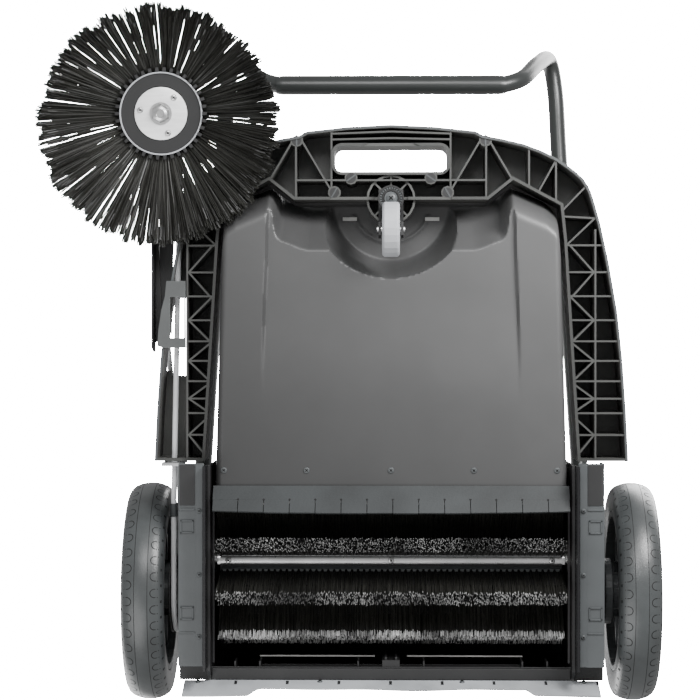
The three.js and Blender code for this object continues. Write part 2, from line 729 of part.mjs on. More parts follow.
// ------------------------------------------------------------------ round belt
/** The belt's centre line: one long loop whose two ends meet in the joining sleeve. */
function beltLine() {
  const points = [];
  const lowZ = WHEEL.radius - BELT.wheelRadius;
  const pulley = new THREE.Vector3(0, 0, BELT.pulleyLift).applyMatrix4(brushFrame);
  const aroundPulley = (angle) =>
    new THREE.Vector3(
      BRUSH.pulleyRadius * Math.cos(angle),
      BRUSH.pulleyRadius * Math.sin(angle),
      BELT.pulleyLift,
    ).applyMatrix4(brushFrame);
  const between = (a, b, count) => {
    for (let i = 1; i < count; i += 1) points.push(a.clone().lerp(b, i / count));
  };
  const wheelBottom = new THREE.Vector3(BELT.x, 0, lowZ);
  const join0 = new THREE.Vector3(BELT.x, BELT.joinY + 0.4, lowZ);
  points.push(join0);
  between(join0, wheelBottom, 3);
  for (let i = 0; i <= 12; i += 1) {
    const angle = -Math.PI / 2 + (i / 12) * degrees(189);
    const y = BELT.wheelRadius * Math.cos(angle);
    points.push(new THREE.Vector3(BELT.x, y, WHEEL.radius + BELT.wheelRadius * Math.sin(angle)));
  }
  const outward = aroundPulley(Math.PI);
  const wheelTop = points[points.length - 1].clone();
  const fall = (wheelTop.z - outward.z) / (wheelTop.y - outward.y);
  const guide = new THREE.Vector3(BELT.x, BELT.guideY, wheelTop.z + fall * (BELT.guideY - wheelTop.y));
  between(wheelTop, guide, 4);
  points.push(guide);
  between(guide, outward, 9);
  for (let i = 0; i <= 8; i += 1) points.push(aroundPulley(Math.PI + (i / 8) * Math.PI));
  const join1 = new THREE.Vector3(BELT.x, BELT.joinY - 0.4, lowZ);
  between(points[points.length - 1].clone(), join1, 12);
  points.push(join1);
  return new THREE.CatmullRomCurve3(points, false, "centripetal");
}

const beltSleeve = () => {
  const profile = [[4.3, -9], [5.4, -9], [5.4, 9], [4.3, 9], [4.3, -9]];
  const sleeve = turnedZ(profile, 0, 0, 16).rotateX(Math.PI / 2);
  return sleeve.translate(BELT.x, BELT.joinY, WHEEL.radius - BELT.wheelRadius);
};
/** The plate behind the frame that both strands of the belt pass through. */
const beltGuide = () =>
  solidOf(block(-317, -291, BELT.guideY - 2.5, BELT.guideY + 2.5, 79, 190))
    .subtract(solidOf(block(-307.5, -295, BELT.guideY - 5, BELT.guideY + 5, 90, 104)))
    .subtract(solidOf(block(-307.5, -295, BELT.guideY - 5, BELT.guideY + 5, 171, 186)));

// ------------------------------------------------------------------ folding handle
function handleTube() {
  const { hingeX, hingeY, hingeZ, crossY, crossZ } = HANDLE;
  const side = [
    [hingeX, hingeY + 14, hingeZ - 4],
    [hingeX, hingeY, hingeZ],
    [276, -230, 334],
    [266, -450, 391],
    [258, -640, 440],
    [254, -735, 460],
    [243, HANDLE.frontY, 450],
    [222, -772, 392],
    [196, -744, 334],
    [165, crossY, crossZ],
    [145, crossY, crossZ],
    [80, crossY, crossZ],
  ];
  const left = side.map((p) => new THREE.Vector3(...p));
  const right = side.slice().reverse().map(([x, y, z]) => new THREE.Vector3(-x, y, z));
  const curve = new THREE.CatmullRomCurve3([...left, ...right], false, "centripetal");
  const tube = solidOf(swept(curve, HANDLE.radius, 64, 8));
  return tube.subtract(solidOf(rodX(5 + GAP, -320, 320, hingeY, hingeZ, 12)));
}

const handleGrip = () =>
  ringX(HANDLE.radius + 0.6, 14.2, -105, 105, HANDLE.crossY, HANDLE.crossZ, 20);

function handleBracket(side) {
  const { hingeX, hingeY, hingeZ, radius } = HANDLE;
  const inner = hingeX - radius - 1;
  const cheek = polygon([
    [-30, 150],
    [60, 150],
    [56, 262],
    [hingeY + 16, 290],
    [hingeY - 16, 290],
    [-26, 262],
  ]);
  return solidOf(across(cheek, side * (258 + GAP), side * (inner - 8)))
    .add(solidOf(rodX(20, side * (inner - 9), side * inner, hingeY, hingeZ, 20)))
    .subtract(solidOf(rodX(5 + GAP, side * 200, side * 320, hingeY, hingeZ, 12)))
    .subtract(solidOf(rodX(42, side * 200, side * 320, 0, WHEEL.radius, 28)))
    .subtract(solidOf(rodX(24, side * 200, side * 320, ROLLER.y, ROLLER.z, 20)));
}

function handlePivot(side) {
  const { hingeX, hingeY, hingeZ, radius } = HANDLE;
  const profile = [
    [0, 259],
    [5, 259],
    [5, hingeX + radius + GAP],
    [11, hingeX + radius + GAP],
    [9, hingeX + radius + 4],
    [0, hingeX + radius + 4.5],
  ];
  return turnedX(profile.map(([r, x]) => [r, side * x]), hingeY, hingeZ, 16);
}

/** The knob that sets the roller's height, on the deck's top. */
function heightKnob() {
  const lobes = 6;
  const outline = Array.from({ length: 36 }, (_, i) => {
    const angle = (i / 36) * 2 * Math.PI;
    const radius = 22 + 2.5 * Math.cos(lobes * angle);
    return [-190 + radius * Math.cos(angle), -60 + radius * Math.sin(angle)];
  });
  return upright(polygon(outline), HOUSING.top + 5 + GAP, HOUSING.top + 24);
}

// ------------------------------------------------------------------ the assembly
piece("main_frame", mainFrame(), BLACK_PLASTIC);
piece("roller_housing", rollerHousing(), BLACK_PLASTIC);
piece("top_deck", topDeck(), BLACK_PLASTIC);
piece("rear_seal", rearSeal(), SEAL_RUBBER);
piece("rear_seal_clamp", rearSealClamp(), COVER_PLASTIC);
piece("roller_height_knob", heightKnob(), COVER_PLASTIC);

for (const [label, side] of [["right", RIGHT], ["left", LEFT]]) {
  piece(`side_cover_${label}`, sideCover(side), COVER_PLASTIC);
  piece(`side_skirt_${label}`, sideSkirt(side), RUBBER);
  piece(`wheel_axle_${label}`, wheelAxle(side), STEEL);
  piece(`rim_${label}`, rim(side), COVER_PLASTIC);
  piece(`tyre_${label}`, tyre(side), RUBBER);
  piece(`hub_cap_${label}`, hubCap(side), BLACK_PLASTIC);
  piece(`drive_gear_${label}`, driveGear(side, side === RIGHT ? 294.2 : 297.7), BELT_PLASTIC);
  piece(`roller_pinion_${label}`, rollerPinion(side), BELT_PLASTIC);
  piece(`roller_bearing_${label}`, rollerBearing(side), STEEL);
  piece(`handle_bracket_${label}`, handleBracket(side), BLACK_PLASTIC);
  piece(`handle_pivot_${label}`, handlePivot(side), STEEL);
}

piece("roller_shaft", rollerShaft(), STEEL);
for (const [label, side] of [["rear", 1], ["front", -1]]) {
  piece(`roller_core_${label}`, rollerCore(side), BLACK_PLASTIC);
  piece(`roller_bristles_${label}`, rollerBristles(side), BRISTLE);
}
for (const [label, side] of [["a", 1], ["b", -1]]) {
  piece(`roller_clamp_bar_${label}`, clampBar(side), STEEL);
}

piece("waste_tub", wasteTub(), GREY_PLASTIC);
piece("tub_lid", tubLid(), BLACK_PLASTIC);
piece("tub_bail", tubBail(), STEEL);
piece("tub_flap", flap(), FLAP_RUBBER);
piece("flap_clamp", flapClamp(), COVER_PLASTIC);

piece("caster_fork", casterFork(), BLACK_PLASTIC);
piece("caster_wheel", casterWheel(), BELT_PLASTIC);
piece("caster_axle", casterAxle(), STEEL);
piece("caster_pin", casterPin(), STEEL);

piece("belt_pulley", beltPulley(), BLACK_PLASTIC);
piece("drive_belt", swept(beltLine(), BELT.radius, 84, 8), BELT_PLASTIC);
piece("belt_sleeve", beltSleeve(), COVER_PLASTIC);
piece("belt_guide", beltGuide(), BELT_PLASTIC);

piece("brush_arm", brushArm(), BLACK_PLASTIC);
piece("arm_cover", armCover(), BLACK_PLASTIC);
piece("arm_pivot", armPivot(), STEEL);
piece("brush_bracket", brushBracket(), BRACKET_STEEL);
piece("side_brush_spindle", brushSpindle(), BLACK_PLASTIC);
piece("side_brush_disc", brushDisc(), BLACK_PLASTIC);
piece("side_brush_bristles", brushBristles(), BRISTLE);
piece("side_brush_clamp_plate", clampPlate(), STEEL);
piece("side_brush_nut", hubNut(), STEEL);

piece("handle_tube", handleTube(), TUBE_PAINT);
piece("handle_grip", handleGrip(), TUBE_PAINT);

export default machine;
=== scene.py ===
"""Looks of a walk behind push sweeper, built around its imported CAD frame.

The machine lies in the frame's metres: the front faces -Y and the operator's right is at -X.
Lengths below are in millimetres from the design's own origin, which is the machine's middle plane,
the wheel axle and the ground, and place() brings them into the frame.
"""
import math
import random

import bmesh
import bpy
from mathutils import Matrix, Vector


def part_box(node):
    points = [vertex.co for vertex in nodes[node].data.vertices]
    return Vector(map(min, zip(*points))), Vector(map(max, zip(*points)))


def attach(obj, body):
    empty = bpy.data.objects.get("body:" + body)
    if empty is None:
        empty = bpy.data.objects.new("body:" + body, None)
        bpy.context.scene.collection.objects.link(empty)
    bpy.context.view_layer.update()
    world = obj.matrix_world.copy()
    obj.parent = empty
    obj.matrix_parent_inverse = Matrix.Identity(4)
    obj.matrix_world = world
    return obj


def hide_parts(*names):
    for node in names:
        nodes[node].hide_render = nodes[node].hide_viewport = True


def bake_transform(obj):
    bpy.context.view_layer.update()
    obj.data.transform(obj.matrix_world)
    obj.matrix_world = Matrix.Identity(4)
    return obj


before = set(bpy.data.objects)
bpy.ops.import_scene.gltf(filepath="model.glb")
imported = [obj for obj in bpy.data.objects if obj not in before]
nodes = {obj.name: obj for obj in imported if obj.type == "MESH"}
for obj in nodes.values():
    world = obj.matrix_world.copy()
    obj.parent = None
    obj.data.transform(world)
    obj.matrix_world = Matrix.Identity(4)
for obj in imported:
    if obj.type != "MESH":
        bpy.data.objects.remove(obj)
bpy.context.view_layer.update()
random.seed(7)

MM = 0.001
RIGHT, LEFT = -1, 1


def middle(node):
    """The middle of a CAD node's box."""
    low, high = (Vector(c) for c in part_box(node))
    return (low + high) / 2


ORIGIN = Vector((middle("roller_shaft").x, middle("wheel_axle_right").y, 0.0))


def place(x, y, z):
    """A design point, in millimetres, as a point of the frame."""
    return ORIGIN + Vector((x, y, z)) * MM


# Driving dimensions, in millimetres.
WHEEL_RADIUS = middle("wheel_axle_right").z / MM
ROLLER = (middle("roller_shaft") - ORIGIN) / MM
BRUSH_HUB = Vector((-317, -665, 75))
BRUSH_TILT = math.radians(6)
CASTER_PIN_Y = (middle("caster_pin") - ORIGIN).y / MM
HANDLE_HINGE = (middle("handle_pivot_left") - ORIGIN) / MM
TUB_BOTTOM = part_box("waste_tub")[0][2] / MM
TUB_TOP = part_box("waste_tub")[1][2] / MM


# ------------------------------------------------------------------ materials
def node_material(name):
    """A new node material, with its tree and its principled shader."""
    mat = bpy.data.materials.new(name)
    mat.use_nodes = True
    tree = mat.node_tree
    return mat, tree, tree.nodes["Principled BSDF"]


def surface(name, color, roughness, grain=900.0, bump=0.15, mottle=0.12, metallic=0.0,
            specular=0.5, streak=None):
    """A finish with fine grain, uneven colour and uneven gloss, all from object space noise."""
    rough_spread = 0.08
    mat, tree, bsdf = node_material(name)
    new = tree.nodes.new
    link = tree.links.new
    coords = new("ShaderNodeTexCoord")
    mapping = new("ShaderNodeMapping")
    link(coords.outputs["Object"], mapping.inputs["Vector"])
    if streak:
        mapping.inputs["Scale"].default_value = streak
    fine = new("ShaderNodeTexNoise")
    fine.inputs["Scale"].default_value = grain
    fine.inputs["Detail"].default_value = 4
    link(mapping.outputs["Vector"], fine.inputs["Vector"])
    broad = new("ShaderNodeTexNoise")
    broad.inputs["Scale"].default_value = 14
    broad.inputs["Detail"].default_value = 5
    link(mapping.outputs["Vector"], broad.inputs["Vector"])
    ramp = new("ShaderNodeValToRGB")
    dark = [c * (1 - mottle) for c in color]
    light = [min(1.0, c * (1 + mottle)) for c in color]
    ramp.color_ramp.elements[0].position = 0.35
    ramp.color_ramp.elements[1].position = 0.65
    ramp.color_ramp.elements[0].color = (*dark, 1)
    ramp.color_ramp.elements[1].color = (*light, 1)
    link(broad.outputs["Fac"], ramp.inputs["Fac"])
    link(ramp.outputs["Color"], bsdf.inputs["Base Color"])
    gloss = new("ShaderNodeMapRange")
    gloss.inputs["To Min"].default_value = max(0.05, roughness - rough_spread)
    gloss.inputs["To Max"].default_value = min(1.0, roughness + rough_spread)
    link(fine.outputs["Fac"], gloss.inputs["Value"])
    link(gloss.outputs["Result"], bsdf.inputs["Roughness"])
    relief = new("ShaderNodeBump")
    relief.inputs["Strength"].default_value = bump
    relief.inputs["Distance"].default_value = 0.0004
    link(fine.outputs["Fac"], relief.inputs["Height"])
    link(relief.outputs["Normal"], bsdf.inputs["Normal"])
    bsdf.inputs["Metallic"].default_value = metallic
    bsdf.inputs["Specular IOR Level"].default_value = specular
    return mat


def painted_light_above_edges(mat, color, low, high):
    """Gives a finish the colour color below the height low and keeps its own colour above high; a lighter
    own colour paints light into everything above that band.
    """
    tree = mat.node_tree
    bsdf = tree.nodes["Principled BSDF"]
    base = bsdf.inputs["Base Color"].links[0].from_socket
    new, link = tree.nodes.new, tree.links.new
    coords = new("ShaderNodeTexCoord")
    split = new("ShaderNodeSeparateXYZ")
    link(coords.outputs["Object"], split.inputs["Vector"])
    near = new("ShaderNodeMapRange")
    near.inputs["From Min"].default_value = low
    near.inputs["From Max"].default_value = high
    near.inputs["To Min"].default_value = 1.0
    near.inputs["To Max"].default_value = 0.0
    link(split.outputs["Z"], near.inputs["Value"])
    mix = new("ShaderNodeMix")
    mix.data_type = "RGBA"
    mix.inputs["B"].default_value = (*color, 1)
    link(near.outputs["Result"], mix.inputs["Factor"])
    link(base, mix.inputs["A"])
    link(mix.outputs["Result"], bsdf.inputs["Base Color"])
    return mat


def painted_light_gradient(mat, middle_point, direction, reach, low, high):
    """Paints shade into a finish at one end of a direction and light at the other, by scaling its colour.
    """
    tree = mat.node_tree
    bsdf = tree.nodes["Principled BSDF"]
    base = bsdf.inputs["Base Color"].links[0].from_socket
    new, link = tree.nodes.new, tree.links.new
    coords = new("ShaderNodeTexCoord")
    offset = new("ShaderNodeVectorMath")
    offset.operation = "SUBTRACT"
    offset.inputs[1].default_value = middle_point
    link(coords.outputs["Object"], offset.inputs[0])
    along = new("ShaderNodeVectorMath")
    along.operation = "DOT_PRODUCT"
    along.inputs[1].default_value = direction
    link(offset.outputs["Vector"], along.inputs[0])
    span = new("ShaderNodeMapRange")
    span.inputs["From Min"].default_value = -reach
    span.inputs["From Max"].default_value = reach
    span.inputs["To Min"].default_value = low
    span.inputs["To Max"].default_value = high
    link(along.outputs["Value"], span.inputs["Value"])
    scale = new("ShaderNodeVectorMath")
    scale.operation = "SCALE"
    link(base, scale.inputs[0])
    link(span.outputs["Result"], scale.inputs["Scale"])
    link(scale.outputs["Vector"], bsdf.inputs["Base Color"])
    return mat


BLACK = surface("black_plastic", (0.012, 0.012, 0.0125), 0.5, bump=0.3)
# The frame's own colour is lighter than its bottom band's colour: painted light in the deep pockets and
# webs, where shade falls; the rib bottoms and rim keep the darker colour.
FRAME_BLACK = painted_light_above_edges(
    surface("frame_plastic", (0.078, 0.079, 0.075), 0.4, bump=0.25), (0.04, 0.041, 0.039), 0.0765, 0.0782
)
# Painted shade and painted light: the tub's colour is scaled darker towards the rear on the operator's
# right and lighter towards the front on the left.
TUB_GREY = painted_light_gradient(
    surface("tub_plastic", (0.06, 0.0602, 0.0605), 0.42, grain=1400, bump=0.12, mottle=0.04),
    (0.0545, 0.02, 0), (1.0, -1.3, 0), 0.4, 0.45, 1.3,
)
COVER_GREY = surface("cover_plastic", (0.062, 0.0675, 0.07), 0.45, bump=0.25, mottle=0.1)
RUBBER = surface(
    "tyre_rubber", (0.042, 0.046, 0.047), 0.36, grain=500, bump=0.35, mottle=0.25, specular=0.6,
)
SKIRT = surface("skirt_rubber", (0.006, 0.006, 0.007), 0.25, grain=300, bump=0.15)
SEAL = surface("seal_rubber", (0.35, 0.365, 0.38), 0.6, grain=260, bump=0.5, mottle=0.18)
FLAP = surface("flap_rubber", (0.025, 0.028, 0.0292), 0.6, grain=300, bump=0.5, mottle=0.2)
STEEL = surface("bright_steel", (0.62, 0.62, 0.62), 0.3, metallic=1.0, grain=400, bump=0.1)
PLATE = surface(
    "brushed_plate", (0.95, 0.95, 0.95), 0.34, metallic=0.2, grain=250, bump=0.25, streak=(1, 9, 1),
)
BRACKET = surface("bracket_steel", (0.12, 0.125, 0.125), 0.4, metallic=0.6, grain=500, bump=0.2)
TUBE = surface("tube_paint", (0.022, 0.024, 0.0235), 0.32, grain=1600, bump=0.08, mottle=0.05)
BELT = surface("belt_plastic", (0.42, 0.425, 0.43), 0.45, grain=700, bump=0.2)
ROUND_BELT = surface("round_belt", (0.72, 0.73, 0.74), 0.4, grain=700, bump=0.15)
CASTER = surface("caster_tread", (0.4, 0.41, 0.43), 0.6, grain=260, bump=0.5, mottle=0.1)
BRISTLE = surface("bristle", (0.018, 0.018, 0.0155), 0.55, grain=200, bump=0.1, mottle=0.3, specular=0.25)
BRISTLE_WORN = surface("bristle_worn", (0.03, 0.03, 0.028), 0.45, grain=200, bump=0.1, mottle=0.3)
DULL_TIPS = surface("dull_tips", (0.09, 0.09, 0.09), 0.6, grain=2500, bump=0.2, mottle=0.6)
TIPS = surface("bristle_tips", (0.34, 0.34, 0.335), 0.6, grain=2500, bump=0.2, mottle=0.6)
BRIGHT_TIPS = surface("bright_tips", (0.85, 0.85, 0.84), 0.5, grain=2500, bump=0.2, mottle=0.5)
# Painted shade: a near black for screw recesses, slots, holes, tyre grooves and the inside of the roller's
# rows; it also colours some roller bristle tips.
DARK = surface("deep_black", (0.002, 0.002, 0.002), 0.8, grain=300)
# Painted light: a light colour for slits, standing in for the light that shows through them.
SLIT_LIGHT = surface("painted_slit_light", (0.62, 0.62, 0.6), 0.5, grain=300)

NODE_FINISH = {
    BLACK: [
        "roller_housing", "top_deck", "roller_core_rear", "roller_core_front", "tub_lid", "caster_fork",
        "belt_pulley", "brush_arm", "arm_cover", "side_brush_spindle", "side_brush_disc",
        "hub_cap_right", "hub_cap_left", "handle_bracket_right", "handle_bracket_left", "rear_seal_clamp",
    ],
    FRAME_BLACK: ["main_frame"],
    TUB_GREY: ["waste_tub"],
    COVER_GREY: [
        "roller_height_knob", "flap_clamp", "belt_sleeve", "side_cover_right",
        "side_cover_left", "rim_right", "rim_left", "caster_pin",
    ],
    SKIRT: ["side_skirt_right", "side_skirt_left"],
    RUBBER: ["tyre_right", "tyre_left"],
    SEAL: ["rear_seal"],
    FLAP: ["tub_flap"],
    STEEL: [
        "wheel_axle_right", "wheel_axle_left", "roller_bearing_right", "roller_bearing_left",
        "handle_pivot_right", "handle_pivot_left", "roller_shaft", "roller_clamp_bar_a",
        "roller_clamp_bar_b", "tub_bail", "caster_axle", "arm_pivot", "side_brush_nut",
    ],
    PLATE: ["side_brush_clamp_plate"],
    BRACKET: ["brush_bracket"],
    TUBE: ["handle_tube", "handle_grip"],
    BELT: [
        "drive_gear_right", "drive_gear_left", "roller_pinion_right", "roller_pinion_left",
        "drive_belt", "belt_guide",
    ],
    CASTER: ["caster_wheel"],
    BRISTLE: ["roller_bristles_rear", "roller_bristles_front", "side_brush_bristles"],
}
BEVELS = {
    "main_frame": 0.7, "roller_housing": 1.0, "top_deck": 1.5, "tub_lid": 2.5, "side_cover_right": 1.2,
    "side_cover_left": 1.2, "rim_right": 1.5, "rim_left": 1.5, "caster_fork": 0.8, "brush_arm": 1.2,
    "arm_cover": 0.8, "handle_bracket_right": 1.5, "handle_bracket_left": 1.5, "brush_bracket": 0.5,
    "roller_height_knob": 1.5, "belt_guide": 0.6, "side_brush_disc": 0.8, "side_brush_clamp_plate": 0.5,
    "side_brush_nut": 1.0, "caster_wheel": 1.0, "belt_pulley": 0.5, "rear_seal_clamp": 0.5,
}


def finish_cad_nodes():
    """Gives every CAD node its material and rounds the edges that catch the light."""
    for finish, names in NODE_FINISH.items():
        for name in names:
            node = nodes[name]
            if not node.material_slots:
                node.data.materials.append(finish)
            for slot in node.material_slots:
                slot.link = "OBJECT"
                slot.material = finish
    for name, width in BEVELS.items():
        weld = nodes[name].modifiers.new("weld", "WELD")
        weld.merge_threshold = 2e-6
        bevel = nodes[name].modifiers.new("edges", "BEVEL")
        bevel.width = width * MM
        bevel.segments = 2
        bevel.limit_method = "ANGLE"
        bevel.angle_limit = math.radians(35)


# ------------------------------------------------------------------ mesh helpers
BLOCK_FACES = [(3, 2, 1, 0), (4, 5, 6, 7), (0, 1, 5, 4), (1, 2, 6, 5), (2, 3, 7, 6), (3, 0, 4, 7)]


class Builder:
    """Collects faces, each with a material number, and makes one object of them."""

    def __init__(self):
        self.verts = []
        self.faces = []
        self.finish = []

    def add(self, points, faces, finish=0):
        """Adds faces that count from the first of these points."""
        start = len(self.verts)
        self.verts.extend(points)
        self.faces.extend([tuple(start + i for i in face) for face in faces])
        self.finish.extend([finish] * len(faces))

    def box(self, low, high, finish=0):
        """A block between two design corners."""
        (x0, y0, z0), (x1, y1, z1) = low, high
        points = [Vector((x, y, z)) for z in (z0, z1) for y in (y0, y1) for x in (x0, x1)]
        faces = [(0, 2, 3, 1), (4, 5, 7, 6), (0, 1, 5, 4), (2, 6, 7, 3), (0, 4, 6, 2), (1, 3, 7, 5)]
        self.add(points, faces, finish)

    def prism(self, outline, low, high, finish=0):
        """An outline of design points raised from low to high along a direction."""
        count = len(outline)
        points = [Vector(p) + Vector(low) for p in outline] + [Vector(p) + Vector(high) for p in outline]
        faces = [tuple(reversed(range(count))), tuple(range(count, 2 * count))]
        faces += [(i, (i + 1) % count, count + (i + 1) % count, count + i) for i in range(count)]
        self.add(points, faces, finish)

    def lathe(self, profile, matrix, segments=48, finish=0, closed=False):
        """A turned surface; the profile lists (radius, height) along the matrix's Z axis."""
        points = []
        faces = []
        count = len(profile)
        for i in range(segments):
            angle = 2 * math.pi * i / segments
            for radius, height in profile:
                points.append(matrix @ Vector((radius * math.cos(angle), radius * math.sin(angle), height)))
        last = count if closed else count - 1
        for i in range(segments):
            j = (i + 1) % segments
            for k in range(last):
                n = (k + 1) % count
                faces.append((i * count + k, j * count + k, j * count + n, i * count + n))
        self.add(points, faces, finish)

    def object(self, name, body, finishes, smooth=40, bevel=0.0, replaces=(), weld=True):
        """Makes the object, which rides on body unless that is None."""
        mesh = bpy.data.meshes.new(name)
        mesh.from_pydata([place(*p) for p in self.verts], [], self.faces)
        for finish in finishes:
            mesh.materials.append(finish)
        mesh.polygons.foreach_set("material_index", self.finish)
        if weld:
            tidy = bmesh.new()
            tidy.from_mesh(mesh)
            bmesh.ops.remove_doubles(tidy, verts=tidy.verts, dist=1e-6)
            bmesh.ops.recalc_face_normals(tidy, faces=tidy.faces)
            tidy.to_mesh(mesh)
            tidy.free()
        if smooth:
            mesh.polygons.foreach_set("use_smooth", [True] * len(mesh.polygons))
            mesh.set_sharp_from_angle(angle=math.radians(smooth))
        mesh.update()
        piece = bpy.data.objects.new(name, mesh)
        bpy.context.scene.collection.objects.link(piece)
        if bevel:
            edge = piece.modifiers.new("edges", "BEVEL")
            edge.width = bevel * MM
            edge.segments = 2
            edge.limit_method = "ANGLE"
            edge.angle_limit = math.radians(35)
        if body:
            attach(piece, body)
        if replaces:
            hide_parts(*replaces)
        return piece


def axis_matrix(origin, direction):
    """A matrix whose Z axis points along direction from a design point."""
    turn = Vector(direction).to_track_quat("Z", "Y").to_matrix().to_4x4()
    return Matrix.Translation(Vector(origin)) @ turn


def smooth_path(points, steps):
    """Catmull-Rom points through the given design points."""
    pts = [Vector(p) for p in points]
    pts = [pts[0] * 2 - pts[1]] + pts + [pts[-1] * 2 - pts[-2]]
    path = []
    for i in range(1, len(pts) - 2):
        p0, p1, p2, p3 = pts[i - 1:i + 3]
        for k in range(steps):
            t = k / steps
            path.append(0.5 * (
                2 * p1 + (p2 - p0) * t + (2 * p0 - 5 * p1 + 4 * p2 - p3) * t * t
                + (3 * p1 - p0 - 3 * p2 + p3) * t ** 3
            ))
    path.append(pts[-2])
    return path


def tube(builder, path, radius, sides):
    """A round tube along design points, with its ends closed."""
    count = len(path)
    normal = None
    rings = []
    for i, point in enumerate(path):
        ahead = path[min(i + 1, count - 1)]
        behind = path[max(i - 1, 0)]
        tangent = (ahead - behind).normalized()
        if normal is None:
            normal = tangent.orthogonal().normalized()
        normal = (normal - tangent * normal.dot(tangent)).normalized()
        side = tangent.cross(normal)
        rings.extend(
            point + (normal * math.cos(a) + side * math.sin(a)) * radius
            for a in (2 * math.pi * k / sides for k in range(sides))
        )
    faces = []
    for i in range(count - 1):
        for k in range(sides):
            n = (k + 1) % sides
            faces.append((i * sides + k, i * sides + n, (i + 1) * sides + n, (i + 1) * sides + k))
    faces.append(tuple(reversed(range(sides))))
    faces.append(tuple(range((count - 1) * sides, count * sides)))
    builder.add(rings, faces)


def fibre(builder, path, thick, body=0, end=1):
    """One bristle: a three sided strand along a few points, whose last stretch has its own finish."""
    tangent = (path[-1] - path[0]).normalized()
    side = tangent.orthogonal().normalized()
    side.rotate(Matrix.Rotation(random.uniform(0, 2 * math.pi), 3, tangent))
    other = tangent.cross(side)
    corners = [
        (side * math.cos(a) + other * math.sin(a)) * thick / 2
        for a in (0, 2 * math.pi / 3, 4 * math.pi / 3)
    ]
    points = [p + c for p in path for c in corners]
    for i in range(len(path) - 1):
        faces = [(3 * i + k, 3 * i + (k + 1) % 3, 3 * i + 3 + (k + 1) % 3, 3 * i + 3 + k) for k in range(3)]
        if i == len(path) - 2:
            faces.append((3 * i + 3, 3 * i + 4, 3 * i + 5))
        builder.faces.extend([tuple(len(builder.verts) + n for n in face) for face in faces])
        builder.finish.extend([end if i == len(path) - 2 else body] * len(faces))
    builder.verts.extend(points)


def screw(builder, centre, radius, direction=(0, 0, -1)):
    """A domed head in the first finish, facing along direction, with a cross recess drawn as a thin plate
    in the second finish; a near black second finish paints the recess's shade.
    """
    matrix = axis_matrix(centre, direction)
    dome = [(radius, 0.0), (radius, 0.8), (radius * 0.8, 1.6), (radius * 0.4, 2.0), (0.01, 2.1)]
    builder.lathe(dome, matrix, 20)
    for turn in (45, 135):
        cross = matrix @ Matrix.Rotation(math.radians(turn), 4, "Z")
        long, short = radius * 0.55, radius * 0.13
        signs = ((-1, -1), (1, -1), (1, 1), (-1, 1))
        flat = [cross @ Vector((x * long, y * short, 2.15)) for x, y in signs]
        builder.prism(flat, (0, 0, 0), tuple(Vector(direction) * 0.25), 1)


# ------------------------------------------------------------------ waste tub
TUB_REAR_Y = -154
TUB_SHELF = 157


def tub_front(x):
    """The front edge of the tub, just under its shelf, at a distance x from the middle."""
    line = [(0, -541), (134, -541), (168, -567), (213, -548), (229, -535), (232, -505), (240, -500)]
    for (xa, ya), (xb, yb) in zip(line, line[1:]):
        if abs(x) <= xb:
            return ya + (yb - ya) * (abs(x) - xa) / (xb - xa)
    return line[-1][1]


def step(value, low, high):
    """A smooth rise from 0 at low to 1 at high."""
    t = max(0.0, min(1.0, (value - low) / (high - low)))
    return t * t * (3 - 2 * t)


def ramp(t):
    """A straight rise from 0 to 1 whose foot is rounded."""
    t = max(0.0, min(1.0, t))
    return t * t / 0.16 if t < 0.08 else (t - 0.04) / 0.96


def tub_height(x, y, edge):
    """The tub bottom's height: low sides, a raised middle, a front scoop and the caster's bowl."""
    side = abs(x)
    crease = 166 + 7 * (1 - step(-y, 300, 560))
    panel = 7.5 * step(-y, 262, 420) * (1 - step(side, crease, crease + 4.5))
    front = tub_front(x)
    slope = max(0.0, (front + 49.5 - y) / 49.5) ** 2.5
    scoop = ramp((-468 - 14 * step(side, 110, 160) - y) / 72)
    part = step(side, 149, 165)
    from_pin = math.hypot(x, y - CASTER_PIN_Y)
    bowl = math.sin(max(0.0, min(1.0, (111 - from_pin) / 31)) * math.pi / 2)
    ring = 2.0 * math.exp(-((from_pin - 56) / 2.2) ** 2) * (y > -530)
    rise = max(scoop * (1 - part) + slope * part, bowl) * (TUB_SHELF - TUB_BOTTOM - 7)
    rounding = 0.0
    radius = 9.0
    if edge < radius:
        rounding = radius - math.sqrt(max(0.0, radius ** 2 - (radius - edge) ** 2))
    return min(TUB_BOTTOM + max(panel, rise) + rounding - ring, TUB_SHELF - 1)


def waste_tub():
    """The tub's shell, whose bottom is a grid that is finer near its sides and front."""
    columns, rows = 232, 170
    builder = Builder()
    grid = []
    for j in range(rows + 1):
        v = j / rows
        for i in range(columns + 1):
            u = 2 * i / columns - 1
            u = math.copysign(1 - (1 - abs(u)) ** 1.12, u)
            half = 240 - 8 * min(1.0, v * 1.25)
            x = u * half
            front = tub_front(x)
            y = TUB_REAR_Y + (front - TUB_REAR_Y) * (1 - (1 - v) ** 1.12)
            grid.append(Vector((x, y, tub_height(x, y, max(0.0, half - abs(x))))))
    wide = columns + 1
    faces = [
        (j * wide + i, j * wide + i + 1, (j + 1) * wide + i + 1, (j + 1) * wide + i)
        for j in range(rows) for i in range(columns)
    ]
    builder.add(grid, faces)
    tub_walls(builder, grid, wide, rows)
    builder.object(
        "waste_tub_shell", "tub", [TUB_GREY, BLACK], smooth=50, replaces=["waste_tub"],
    )


